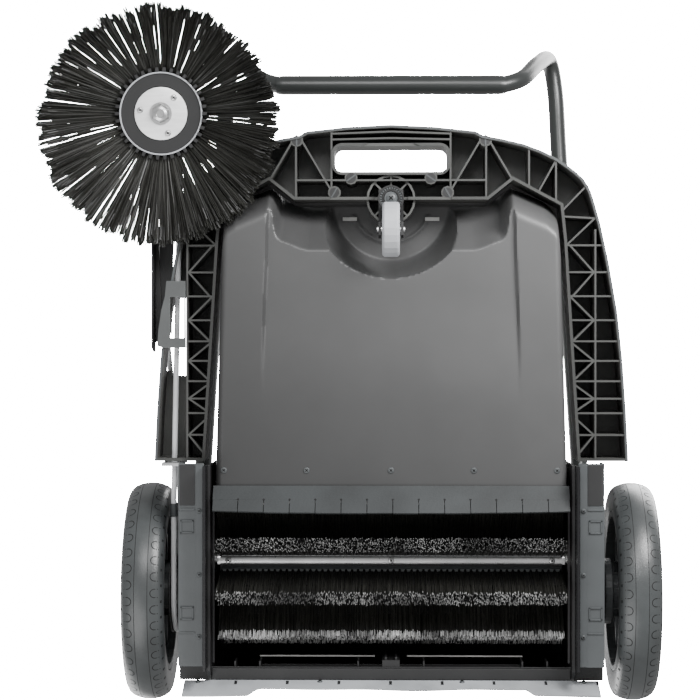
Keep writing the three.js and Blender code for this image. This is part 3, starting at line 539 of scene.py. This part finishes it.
def tub_walls(builder, grid, wide, rows):
    """The walls that stand on the bottom's edges, the shelf over the frame and the low rear lip."""
    left = [grid[j * wide] for j in range(rows + 1)]
    front = [grid[rows * wide + i] for i in range(wide)]
    right = [grid[j * wide + wide - 1] for j in range(rows, -1, -1)]
    rim = left + front[1:] + right[1:]

    def level(height, spread):
        points = []
        for p in rim:
            limit = TUB_REAR_Y if height <= 60 else -176
            out = 7 * step(abs(p.x), 150, 225) * step(-p.y, 187, 192) * spread
            ahead = 12 * step(-p.y, 480, 530) * spread
            points.append(Vector((
                p.x + math.copysign(out, p.x), min(p.y, limit) - ahead, max(height, p.z),
            )))
        return points

    levels = [rim, level(60, 0), level(TUB_SHELF, 0), level(TUB_SHELF, 1), level(TUB_TOP, 1)]
    count = len(rim)
    for k, (low, high) in enumerate(zip(levels, levels[1:])):
        faces = [(i, i + 1, count + i + 1, count + i) for i in range(count - 1)]
        if k != 2:
            builder.add(low + high, faces)
            continue
        # Painted shade: the shelf's faces behind the front corners take the black finish, where the frame
        # shades the shelf's underside; the front ones keep the tub's grey.
        for face in faces:
            corners = [(low + high)[n] for n in face]
            builder.add(corners, [(0, 1, 2, 3)], 1 if corners[0].y > -500 else 0)
    lip = grid[:wide]
    upper = [Vector((p.x, TUB_REAR_Y, 60)) for p in lip]
    lean_top = [Vector((p.x, -176, 82)) for p in lip]
    faces = [(r * wide + i, r * wide + i + 1, (r + 1) * wide + i + 1, (r + 1) * wide + i)
             for r in range(2) for i in range(wide - 1)]
    builder.add(lip + upper + lean_top, faces)


def tub_details():
    """The screws of the flap clamp, and the two slits in the caster's bowl, light boxes that paint the
    light showing through them.
    """
    builder = Builder()
    for x in (-228, -115, 0, 113, 226):
        screw(builder, (x, -175, TUB_BOTTOM), 4.2)
    builder.object("tub_screws", "tub", [COVER_GREY, DARK], smooth=30)
    slits = Builder()
    for side in (RIGHT, LEFT):
        slits.box((side * 58 - 10, -526, 148), (side * 58 + 10, -521, 156))
    slits.object("bowl_slits", "tub", [SLIT_LIGHT], smooth=0)


def tub_flap():
    """The rubber flap under the tub's rear lip, cut into tongues by slits."""
    top, bottom = Vector((0, -153.4, 42.5)), Vector((0, -117.5, 12.2))
    normal = Vector((0, 30, 36)).normalized() * 1.3
    half, pitch, cut = 242, 35, 0.5
    builder = Builder()

    def strip(x0, x1, t0, t1, sag=0.0):
        columns = max(1, int((x1 - x0) / 9))
        for i in range(columns):
            xa, xb = x0 + (x1 - x0) * i / columns, x0 + (x1 - x0) * (i + 1) / columns
            points = []
            for offset in (-1, 1):
                for x, t in ((xa, t0), (xb, t0), (xb, t1), (xa, t1)):
                    curl = sag * t * (abs(x) / half) ** 3
                    base = top.lerp(bottom, t) + normal * offset + Vector((x, -curl, curl))
                    points.append(base)
            builder.add(points, BLOCK_FACES)

    strip(-half, half, 0.0, cut)
    edges = [-half] + [2.5 + pitch * (k - 6) for k in range(13)] + [half]
    for xa, xb in zip(edges, edges[1:]):
        drift = random.uniform(0, 0.02)
        strip(xa + 0.5, xb - 0.5, cut, 0.97 + drift, sag=3.0)
    # Painted shade: a near black disc where each slit begins stands in for its hole.
    for x in edges[1:-1]:
        centre = top.lerp(bottom, cut) - normal * 1.05 + Vector((x, 0, 0))
        builder.lathe([(0.01, 0), (1.6, 0), (1.6, 0.15)], axis_matrix(centre, tuple(-normal)), 10, 1)
    builder.object(
        "flap_tongues", "tub", [FLAP, DARK], smooth=40, replaces=["tub_flap"], weld=False,
    )


def frame_rim_highlight():
    """A painted highlight along the frame's outer edge: a thin light band along its outline."""
    half = [
        (326, -186), (320.5, -292), (311, -391), (293, -490), (280, -540), (275, -556), (265.5, -573),
        (247.6, -589), (220, -607), (177, -624), (127, -634), (116, -640), (60, -646), (0, -649),
    ]
    path = smooth_path([(x, y, 0) for x, y in half], 6)
    path += [Vector((-p.x, p.y, 0)) for p in reversed(path[:-1])]
    builder = Builder()
    points = []
    for i, p in enumerate(path):
        along = (path[min(i + 1, len(path) - 1)] - path[max(i - 1, 0)]).normalized()
        inward = Vector((along.y, -along.x, 0))
        if inward.dot(Vector((0, -400, 0)) - p) < 0:
            inward = -inward
        for depth, z in ((0.6, 75.4), (0.9, 74.7), (3.2, 74.7), (3.6, 75.4)):
            points.append(p + inward * depth + Vector((0, 0, z)))
    faces = [
        (4 * i + k, 4 * i + k + 1, 4 * i + k + 5, 4 * i + k + 4)
        for i in range(len(path) - 1) for k in range(3)
    ]
    builder.add(points, faces)
    builder.object("frame_rim_highlight", "chassis", [COVER_GREY], smooth=60)


def boss_bores():
    """Near black discs that paint the shade in the bores of the front beam's screw bosses, each with a rib
    across it.
    """
    builder = Builder()
    for side in (RIGHT, LEFT):
        for x, y, turn in ((130, -628, 90), (55, -576, 35), (78, -556, 60)):
            matrix = axis_matrix((side * x, y, 76.9), (0, 0, -1))
            builder.lathe([(0.01, 0), (0.01, 0.2), (6.6, 0.2), (6.6, 0)], matrix, 28, 0)
            a = math.radians(turn)
            along = Vector((side * math.cos(a), math.sin(a), 0)) * 8
            across = Vector((-math.sin(a), side * math.cos(a), 0)) * 0.9
            centre = Vector((side * x, y, 76.2))
            corners = [along + across, along - across, -along - across, -along + across]
            builder.prism([centre + p for p in corners], (0, 0, 0), (0, 0, 0.5), 1)
    builder.object("boss_bores", "chassis", [BLACK, COVER_GREY], smooth=30)


# ------------------------------------------------------------------ rear seal and covers
def rear_seal():
    """The rubber strip behind the roller, longer at both ends, with near black marks that paint the shade
    in its slots, and screws.
    """
    top, low = Vector((0, 114.3, 58)), Vector((0, 127.5, 11))
    normal = Vector((0, 47, 13.2)).normalized() * 1.4
    half, inner, outer = 283, 180, 196
    builder = Builder()

    def depth(x):
        return 0.56 + 0.42 * step(abs(x), inner, outer) + 0.03 * math.sin(x * 0.045) * (abs(x) < inner)

    count = 140
    for i in range(count):
        xa, xb = -half + 2 * half * i / count, -half + 2 * half * (i + 1) / count
        points = []
        for offset in (-1, 1):
            for x, t in ((xa, 0), (xb, 0), (xb, depth(xb)), (xa, depth(xa))):
                wave = 1.2 * t * math.sin(x * 0.021 + 1)
                points.append(top.lerp(low, t) + normal * offset + Vector((x, wave, 0)))
        faces = [(3, 2, 1, 0), (4, 5, 6, 7), (0, 1, 5, 4), (2, 3, 7, 6)]
        if i == 0:
            faces.append((3, 0, 4, 7))
        if i == count - 1:
            faces.append((1, 2, 6, 5))
        builder.add(points, faces)
    # Painted shade: near black boxes on the strip's face stand in for its slots.
    for k in range(8):
        x = -212 + 70.5 * k
        for t in (0.08, 0.16, 0.24):
            p = top.lerp(low, t) - normal * 1.05
            builder.box((x - 1.8, p.y - 0.4, p.z - 3), (x + 1.8, p.y + 0.2, p.z + 3), 1)
    builder.object(
        "rear_seal_strip", "chassis", [SEAL, DARK], smooth=50, replaces=["rear_seal"],
    )
    screws = Builder()
    for x in (-264, -97, 97, 263):
        p = top.lerp(low, 0.12) - normal
        screw(screws, (x, p.y, p.z), 3.6, tuple(-normal))
    screws.object("rear_seal_screws", "chassis", [COVER_GREY, DARK], smooth=30)


def side_cover_details():
    """Raised strips, square pads and screws on the underside of the two side covers."""
    builder = Builder()
    face = 30.0
    for side in (RIGHT, LEFT):
        def bar(xa, xb, ya, yb, drop, finish=0):
            left, right = sorted((side * xa, side * xb))
            builder.box((left, ya, face - drop), (right, yb, face + 0.2), finish)

        bar(256, 265, -183, 90, 1.6)
        bar(266.5, 287, -183, -128, 1.0, 2)
        for ya in (-108, 9.4):
            bar(268, 286, ya, ya + 1.8, 1.8)
            bar(268, 286, ya + 16, ya + 17.8, 1.8)
            bar(268, 269.8, ya, ya + 17.8, 1.8)
            bar(284.2, 286, ya, ya + 17.8, 1.8)
        bar(266.5, 288, -124, -121, 1.4)
        bar(266.5, 288, 44, 46, 1.4)
        for y in (-120.7, -34, 50):
            screw(builder, (side * 260.5, y, face - 1.6), 3.4)
    finishes = [COVER_GREY, DARK, BLACK]
    builder.object("side_cover_details", "chassis", finishes, smooth=30, bevel=0.4)


def chamber_details():
    """Ledges, ribs and slits on the rear wall of the roller chamber; the slits are light strips that paint
    the light showing through them.
    """
    builder = Builder()
    for side in (RIGHT, LEFT):
        left, right = sorted((side * 22, side * 182))
        builder.box((left, 85, 103.5), (right, 87, 105), 1)
        for x in (45, 180, 214):
            builder.box((side * x - 1.2, 88, 64.5), (side * x + 1.2, 108.5, 104))
        builder.box((side * 243.5 - 1.5, -120, 62), (side * 243.5 + 1.5, 90, 66))
    for x in (-7, 7):
        builder.box((x - 1.5, 82, 64.5), (x + 1.5, 87, 138))
    builder.object("chamber_ribs", "chassis", [BLACK, SLIT_LIGHT], smooth=0, bevel=0.4)


# ------------------------------------------------------------------ wheels
def axle_matrix(side):
    """A matrix on the wheel axle whose Z axis points outwards."""
    return axis_matrix((0, 0, WHEEL_RADIUS), (side, 0, 0))


def tyre(side):
    """A tyre with a smooth middle band and two rows of shoulder lugs."""
    label = "right" if side == RIGHT else "left"
    inner_x, outer_x, bead = 307, 368, 112.6
    matrix = axle_matrix(side)
    profile = [
        (bead, inner_x + 4), (120, inner_x + 1.5), (131, inner_x + 1.2), (139, inner_x + 2),
        (143.5, inner_x + 4.5), (147.2, inner_x + 9), (150, inner_x + 16), (151.2, inner_x + 21),
        (151.9, inner_x + 24),
        (152, inner_x + 30.5), (151.9, outer_x - 24), (151.2, outer_x - 21), (150, outer_x - 16),
        (147.2, outer_x - 9), (143.5, outer_x - 4.5), (139, outer_x - 2), (131, outer_x - 1.2),
        (120, outer_x - 1.5), (bead, outer_x - 4),
    ]
    builder = Builder()
    builder.lathe(profile, matrix, 120, closed=True)
    across = [
        (1.2, 131), (2, 139), (4.5, 143.5), (9, 147.2), (16, 150), (21, 151.2), (24, 151.9), (30.5, 152),
    ]

    def on_tread(depth, arc, centre, low, sign):
        for (a, ra), (b, rb) in zip(across, across[1:]):
            if depth <= b:
                radius = ra + (rb - ra) * (depth - a) / (b - a) + 0.15
                break
        angle = centre + arc / radius
        return matrix @ Vector((radius * math.cos(angle), radius * math.sin(angle), low + sign * depth))

    # Painted shade: each groove is a strip laid just over the tread in the near black second finish, in
    # place of a cut groove.
    def groove(line, width, centre, low, sign):
        points = []
        for k, (a, b) in enumerate(line):
            (a0, b0), (a1, b1) = line[max(k - 1, 0)], line[min(k + 1, len(line) - 1)]
            length = math.hypot(a1 - a0, b1 - b0)
            na, nb = -(b1 - b0) / length * width / 2, (a1 - a0) / length * width / 2
            points.append(on_tread(a + na, b + nb, centre, low, sign))
            points.append(on_tread(a - na, b - nb, centre, low, sign))
        faces = [(2 * k, 2 * k + 1, 2 * k + 3, 2 * k + 2) for k in range(len(line) - 1)]
        builder.add(points, faces, 1)

    lugs, wide = 42, 5.6
    loop = [(3, -wide), (8, -wide), (12, -wide)]
    bend = [math.radians(degrees) for degrees in range(-75, 76, 15)]
    loop += [(12 + wide * math.cos(a), wide * math.sin(a)) for a in bend]
    loop += [(12, wide), (8, wide), (3, wide)]
    for low, sign in ((inner_x, 1), (outer_x, -1)):
        for i in range(lugs):
            centre = 2 * math.pi * (i + (0.5 if sign < 0 else 0)) / lugs
            groove(loop, 1.1, centre, low, sign)
            groove([(1.6, 10), (2.6, 10), (4.5, 10)], 3.6, centre, low, sign)
        ring = [(21.5, 150 * 2 * math.pi * k / 90) for k in range(91)]
        groove(ring, 0.7, 0, low, sign)
    builder.object(
        f"tyre_tread_{label}", f"wheel_{label}", [RUBBER, DARK], smooth=35,
        replaces=[f"tyre_{label}"],
    )


def rim_details(side):
    """Spokes, a lip and a ring that finish the open face of the rim."""
    label = "right" if side == RIGHT else "left"
    matrix = axle_matrix(side)
    builder = Builder()
    spokes = 10
    for i in range(spokes):
        turned = matrix @ Matrix.Rotation(2 * math.pi * i / spokes, 4, "Z")
        outline = [(27, -5, 338.2), (103.6, -3.2, 338.2), (103.6, 3.2, 338.2), (27, 5, 338.2)]
        raised = [(27, -3.5, 356), (103.6, -1.6, 350), (103.6, 1.6, 350), (27, 3.5, 356)]
        points = [turned @ Vector(p) for p in outline + raised]
        builder.add(points, BLOCK_FACES)
        inner = [(47, -1.5, 331.8), (103.6, -1.5, 331.8), (103.6, 1.5, 331.8), (47, 1.5, 331.8)]
        deep = [(47, -1, 318), (103.6, -1, 322), (103.6, 1, 322), (47, 1, 318)]
        points = [turned @ Vector(p) for p in inner + deep]
        builder.add(points, BLOCK_FACES)
    builder.lathe([(98, 338.3), (98, 341), (103.8, 342), (103.8, 338.3)], matrix, 72, closed=True)
    builder.lathe([(58, 338.3), (58, 342.5), (61, 342.5), (61, 338.3)], matrix, 60, closed=True)
    builder.object(
        f"rim_spokes_{label}", f"wheel_{label}", [COVER_GREY], smooth=35, bevel=0.5,
    )


# ------------------------------------------------------------------ roller brush
def roller_point(radius, angle, x):
    """A point about the roller's axis, angle from straight down and positive to the rear."""
    a = math.radians(angle)
    return Vector((x, ROLLER.y + radius * math.sin(a), ROLLER.z - radius * math.cos(a)))


def roller_rows():
    """Ten rows of single strands, each on a near black wedge that paints the shade inside the row; the
    third row's tips are lighter.
    """
    angles = [-14, 22.5, 61] + [95 + 36 * i for i in range(7)]
    half = 236
    per_row = 3900
    builder = Builder()
    for i, angle in enumerate(angles):
        pale_row = i == 2
        bright, cut = (0.68, 0.91) if pale_row else (0.5, 0.94)
        # Painted shade: a near black wedge in each row, from r 41 to r 84, stands in for the shade among
        # its strands.
        core = [(41, -4.0), (84, -2.6), (84, 2.6), (41, 4.0)]
        outline = [roller_point(r, angle + a, 0) for r, a in core]
        builder.prism(outline, (-half + 2, 0, 0), (half - 2, 0, 0), 2)
        for _ in range(per_row):
            x = random.uniform(-half, half)
            spread = random.uniform(-1, 1)
            tip_radius = random.uniform(117.6, 120.8) - 1.0 * spread * spread
            root = roller_point(42, angle + spread * 4.0, x)
            lean = random.uniform(-0.5, 0.5)
            tip = roller_point(tip_radius, angle + spread * 4.5 + lean, x + random.uniform(-2.5, 2.5))
            end = 1 if random.random() < bright else 2
            if pale_row and random.random() < 0.3:
                end = 3
            fibre(builder, [root, root.lerp(tip, cut), tip], 0.9, 0, end)
    builder.object(
        "roller_bristles", "roller", [BRISTLE, TIPS, DARK, BRIGHT_TIPS], smooth=0, weld=False,
        replaces=["roller_bristles_rear", "roller_bristles_front"],
    )


def roller_combs():
    """The two clamp bars, with a saw toothed strip along each of their edges, and their screws."""
    builder = Builder()
    pitch, half = 8.2, 234
    for way in (-1, 1):
        def level(height, y, x=0.0):
            return Vector((x, ROLLER.y + y, ROLLER.z + way * height))

        section = [(32.0, -5.6), (34.4, -5.6), (35.2, -4.2), (35.2, 4.2), (34.4, 5.6), (32.0, 5.6)]
        bar = [level(height, y) for height, y in section]
        builder.prism(bar, (-half - 6, 0, 0), (half + 6, 0, 0), 0)
        # Painted shade: the rear strips take the darker cover grey while the front strips take the light
        # belt colour.
        for side, finish, foot, point in ((-1, 1, 7.2, 11.4), (1, 2, 11.0, 16.5)):
            section = [(33, 5.6), (40.5, foot), (42, foot), (35, 5.6)]
            strip = [level(height, side * y) for height, y in section]
            builder.prism(strip, (-half, 0, 0), (half, 0, 0), finish)
            for i in range(int(2 * half / pitch)):
                x = -half + pitch * (i + 0.5)
                root_a, root_b = level(42, side * foot, x - 3.0), level(42, side * foot, x + 3.0)
                tip_a, tip_b = level(42.6, side * point, x - 1.2), level(42.6, side * point, x + 1.2)
                low = [p + Vector((0, 0, -way * 1.4)) for p in (root_a, root_b, tip_b, tip_a)]
                faces = [(0, 1, 2, 3), (7, 6, 5, 4), (0, 4, 5, 1), (1, 5, 6, 2), (2, 6, 7, 3), (3, 7, 4, 0)]
                builder.add([root_a, root_b, tip_b, tip_a] + low, faces, finish)
    builder.object(
        "roller_combs", "roller", [STEEL, ROUND_BELT, COVER_GREY], smooth=30,
        replaces=["roller_clamp_bar_a", "roller_clamp_bar_b"],
    )
    screws = Builder()
    for x in (-225, 0, 222):
        for way in (-1, 1):
            screw(screws, (x, ROLLER.y, ROLLER.z + way * 35), 4.2, (0, 0, way))
    screws.object("roller_bar_screws", "roller", [STEEL, DARK], smooth=30)


# ------------------------------------------------------------------ side brush
def brush_matrix():
    """The side brush's own axes, at its hub."""
    return Matrix.Translation(BRUSH_HUB) @ Matrix.Rotation(BRUSH_TILT, 4, "X")


def side_brush():
    """The side brush's bristles, in tufts that curve down and outwards."""
    count = 5600
    tufts = 112
    tuft_reach = [random.uniform(-5, 5) for _ in range(tufts)]
    tuft_fan = [random.gauss(0, 0.004) for _ in range(tufts)]
    matrix = brush_matrix()
    builder = Builder()
    for _ in range(count):
        tuft = random.randrange(tufts)
        angle = 2 * math.pi * (tuft + 0.5 + random.gauss(0, 0.195)) / tufts
        rear = math.sin(angle)
        fan = tuft_fan[tuft] + random.gauss(0, 0.011)
        reach = 164 + 16 * rear + tuft_reach[tuft] - abs(random.gauss(0, 1)) * 7
        droop = random.uniform(0, 1)
        root_radius, root_w = random.uniform(52, 57), random.uniform(5, 12)
        middle_r, middle_w = random.uniform(105, 115), random.uniform(-18, -9)
        tip_w = -50 + 9 * droop
        path = []
        for t in (0, 0.28, 0.55, 0.85, 1.0):
            r = (1 - t) ** 2 * root_radius + 2 * t * (1 - t) * middle_r + t * t * reach
            w = (1 - t) ** 2 * root_w + 2 * t * (1 - t) * middle_w + t * t * tip_w
            a = angle + fan * t
            path.append(matrix @ Vector((r * math.cos(a), r * math.sin(a), w)))
        body = 2 if random.random() < 0.12 else 0
        end = 1 if random.random() < 0.12 else body
        fibre(builder, path, random.uniform(1.1, 1.5), body, end)
    builder.object(
        "side_brush_fibres", "side_brush", [BRISTLE, DULL_TIPS, BRISTLE_WORN], smooth=0,
        weld=False, replaces=["side_brush_bristles"],
    )


def side_brush_hub():
    """The toothed collar, the plate's face and the fasteners in the side brush's middle."""
    matrix = brush_matrix()
    builder = Builder()
    builder.lathe([(37, -0.3), (37.2, -1.2), (55.2, -1.2), (55.2, -0.3)], matrix, 96, 0, closed=True)
    builder.lathe([(55.2, -0.2), (55.2, -3.4), (57.2, -3.4), (57.2, -0.2)], matrix, 96, 1, closed=True)
    teeth = 38
    for i in range(teeth):
        turned = matrix @ Matrix.Rotation(2 * math.pi * i / teeth, 4, "Z")
        low = [(57.3, -2.4, -4.5), (63.5, -2.1, -4.0), (63.5, 2.1, -4.0), (57.3, 2.4, -4.5)]
        points = [turned @ Vector(p) for p in low] + [turned @ Vector((x, y, z + 6)) for x, y, z in low]
        builder.add(points, BLOCK_FACES, 0)
    builder.object("brush_collar", "side_brush", [BLACK, CASTER], smooth=35, bevel=0.3)
    plate = Builder()
    plate.lathe(
        [
            (0.01, -2.6), (12, -2.6), (12.5, -4.2), (20, -4.4), (33, -3.6), (36.2, -2.6), (36.4, -1.5),
            (0.01, -1.5),
        ],
        matrix, 96,
    )
    plate.object("brush_plate_face", "side_brush", [PLATE], smooth=30)
    bolts = Builder()
    for k in range(3):
        a = math.radians(70 + 120 * k)
        centre = matrix @ Vector((28.5 * math.cos(a), 28.5 * math.sin(a), -4.2))
        screw(bolts, centre, 4.2, tuple(matrix.to_3x3() @ Vector((0, 0, -1))))
    dome = [(9.2, -11.0), (9.2, -12.2), (6.0, -13.6), (5.0, -12.4), (0.01, -12.2)]
    bolts.lathe(dome, matrix, 32, 0)
    bolts.lathe([(12.4, -4.2), (12.4, -5.6), (15.5, -5.6), (15.5, -4.2)], matrix, 40, 0, closed=True)
    bolts.object("brush_plate_screws", "side_brush", [STEEL, DARK], smooth=30)


# ------------------------------------------------------------------ belt, handle and caster
def belt_path():
    """The belt's centre line, as the CAD solid has it."""
    radius, x, pulley_radius, lift, join_y, guide_y = 55, -301.5, 25, 27, -117, -181
    matrix = brush_matrix()
    low = WHEEL_RADIUS - radius

    def around(angle):
        return matrix @ Vector((pulley_radius * math.cos(angle), pulley_radius * math.sin(angle), lift))

    path = [Vector((x, join_y + 0.4, low)), Vector((x, join_y / 2, low))]
    for i in range(41):
        a = -math.pi / 2 + math.radians(189) * i / 40
        path.append(Vector((x, radius * math.cos(a), WHEEL_RADIUS + radius * math.sin(a))))
    top, outward = path[-1], around(math.pi)
    fall = (top.z - outward.z) / (top.y - outward.y)
    guide = Vector((x, guide_y, top.z + fall * (guide_y - top.y)))
    path += [top.lerp(guide, t) for t in (0.33, 0.66, 1.0)]
    path += [guide.lerp(outward, k / 8) for k in range(1, 8)]
    path += [around(math.pi + math.pi * k / 24) for k in range(25)]
    end = Vector((x, join_y - 0.4, low))
    path += [path[-1].lerp(end, k / 8) for k in range(1, 8)] + [end]
    return path


def drive_belt():
    """The round belt, a tube swept along the belt's path."""
    builder = Builder()
    tube(builder, belt_path(), 3.9, 16)
    belt = builder.object(
        "round_belt", None, [ROUND_BELT], smooth=50, replaces=["drive_belt"],
    )
    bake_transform(belt)


def handle():
    """The bent handle tube and the sleeve on its cross bar."""
    _, y, z = HANDLE_HINGE
    leg_x, cross_y, cross_z = 287, -732, 315
    side = [
        (leg_x, y + 14, z - 4), (leg_x, y, z), (276, -230, 334), (266, -450, 391), (258, -640, 440),
        (254, -735, 460), (243, -785, 450), (222, -772, 392), (196, -744, 334), (165, cross_y, cross_z),
        (145, cross_y, cross_z), (80, cross_y, cross_z),
    ]
    path = smooth_path(side + [(-a, b, c) for a, b, c in reversed(side)], 10)
    builder = Builder()
    tube(builder, path, 12.5, 28)
    builder.object("handle_bar", "handle", [TUBE], smooth=60, replaces=["handle_tube"])
    sleeve = Builder()
    sleeve.lathe(
        [(12.7, -170), (13.6, -166), (14.2, -160), (14.2, 160), (13.6, 166), (12.7, 170)],
        axis_matrix((0, cross_y, cross_z), (1, 0, 0)), 40,
    )
    sleeve.object("grip_sleeve", "handle", [TUBE], smooth=40, replaces=["handle_grip"])


def caster_details():
    """The rings and serrations around the caster's pin, and the pin's head."""
    builder = Builder()
    base = 62.0
    down = axis_matrix((0, CASTER_PIN_Y, base), (0, 0, -1))
    builder.lathe([(15.5, 0), (15.5, 1.6), (17.6, 1.6), (17.6, 0)], down, 48, closed=True)
    builder.lathe([(10.3, 0), (10.3, 2.2), (12, 2.2), (12, 0)], down, 40, closed=True)
    for i in range(26):
        turned = down @ Matrix.Rotation(2 * math.pi * i / 26, 4, "Z")
        low = [(12.6, -0.7, 0), (15.2, -0.9, 0), (15.2, 0.9, 0), (12.6, 0.7, 0)]
        points = [turned @ Vector(p) for p in low] + [turned @ Vector((a, b, 1.5)) for a, b, _ in low]
        builder.add(points, BLOCK_FACES, 1)
    builder.object(
        "caster_serration", "caster_yoke", [BLACK, COVER_GREY], smooth=35, bevel=0.2,
    )
    pin = Builder()
    screw(pin, (0, CASTER_PIN_Y, 58), 6.5)
    pin.object("caster_pin_head", "chassis", [COVER_GREY, DARK], smooth=30)


# ------------------------------------------------------------------ stage
def stage():
    """A pale floor that only shows from above, so that the machine can be seen from below too."""
    mesh = bpy.data.meshes.new("floor")
    reach, height = 40.0, -0.0015
    corners = [(x * reach, y * reach, height) for x, y in ((-1, -1), (1, -1), (1, 1), (-1, 1))]
    mesh.from_pydata(corners, [], [(0, 1, 2, 3)])
    floor = bpy.data.objects.new("floor", mesh)
    bpy.context.scene.collection.objects.link(floor)
    mat, tree, bsdf = node_material("floor_pale")
    bsdf.inputs["Base Color"].default_value = (0.86, 0.86, 0.86, 1)
    bsdf.inputs["Roughness"].default_value = 0.9
    new, link = tree.nodes.new, tree.links.new
    geometry = new("ShaderNodeNewGeometry")
    clear = new("ShaderNodeBsdfTransparent")
    mix = new("ShaderNodeMixShader")
    link(geometry.outputs["Backfacing"], mix.inputs["Fac"])
    link(bsdf.outputs["BSDF"], mix.inputs[1])
    link(clear.outputs["BSDF"], mix.inputs[2])
    link(mix.outputs["Shader"], tree.nodes["Material Output"].inputs["Surface"])
    mesh.materials.append(mat)
    floor.visible_shadow = False
    floor.visible_diffuse = False
    floor.visible_glossy = False


def area_light(name, position, target, size, power):
    """A square light at a position, turned to its target."""
    data = bpy.data.lights.new(name, "AREA")
    data.energy = power
    data.size = size
    light = bpy.data.objects.new(name, data)
    bpy.context.scene.collection.objects.link(light)
    light.location = position
    light.rotation_euler = (target - position).to_track_quat("-Z", "Y").to_euler()
    return light


def studio():
    """A white surround that the camera sees, a dimmer fill and the lights below and above."""
    world = bpy.data.worlds.new("studio")
    bpy.context.scene.world = world
    world.use_nodes = True
    tree = world.node_tree
    new, link = tree.nodes.new, tree.links.new
    seen = tree.nodes["Background"]
    seen.inputs["Color"].default_value = (1, 1, 1, 1)
    seen.inputs["Strength"].default_value = 45.0
    fill = new("ShaderNodeBackground")
    fill.inputs["Color"].default_value = (1, 1, 1, 1)
    fill.inputs["Strength"].default_value = 0.6
    path = new("ShaderNodeLightPath")
    mix = new("ShaderNodeMixShader")
    link(path.outputs["Is Camera Ray"], mix.inputs["Fac"])
    link(fill.outputs["Background"], mix.inputs[1])
    link(seen.outputs["Background"], mix.inputs[2])
    link(mix.outputs["Shader"], tree.nodes["World Output"].inputs["Surface"])
    target = place(0, -330, 80)
    area_light("under_key", place(750, -1050, -700), target, 0.5, 30)
    area_light("under_front", place(-100, -1700, -2000), target, 0.9, 30)
    area_light("under_fill", place(-900, 900, -1500), target, 1.6, 26)
    area_light("over_key", place(1400, -1600, 2400), target, 2.2, 150)
    area_light("over_fill", place(-1800, 900, 1900), target, 2.6, 90)


def camera():
    """Looks straight up at the underside from 3 m, turned a little so that the machine is off centre."""
    data = bpy.data.cameras.new("camera")
    data.lens = 114.9
    data.sensor_width = 36
    eye = bpy.data.objects.new("camera", data)
    bpy.context.scene.collection.objects.link(eye)
    eye.location = place(0, -339, -3000)
    right, up, back = Vector((1, 0, 0)), Vector((0, -1, 0)), Vector((0, 0, -1))
    turn = Matrix((right, up, back)).transposed().to_4x4()
    aside = Matrix.Rotation(math.radians(1.051), 4, "Y")
    eye.rotation_euler = (turn @ aside).to_euler()
    data.clip_start = 0.05
    data.clip_end = 50
    bpy.context.scene.camera = eye


camera()
studio()
stage()
finish_cad_nodes()
waste_tub()
tub_details()
tub_flap()
frame_rim_highlight()
boss_bores()
rear_seal()
side_cover_details()
chamber_details()
for wheel_side in (RIGHT, LEFT):
    tyre(wheel_side)
    rim_details(wheel_side)
roller_rows()
roller_combs()
side_brush()
side_brush_hub()
drive_belt()
handle()
caster_details()
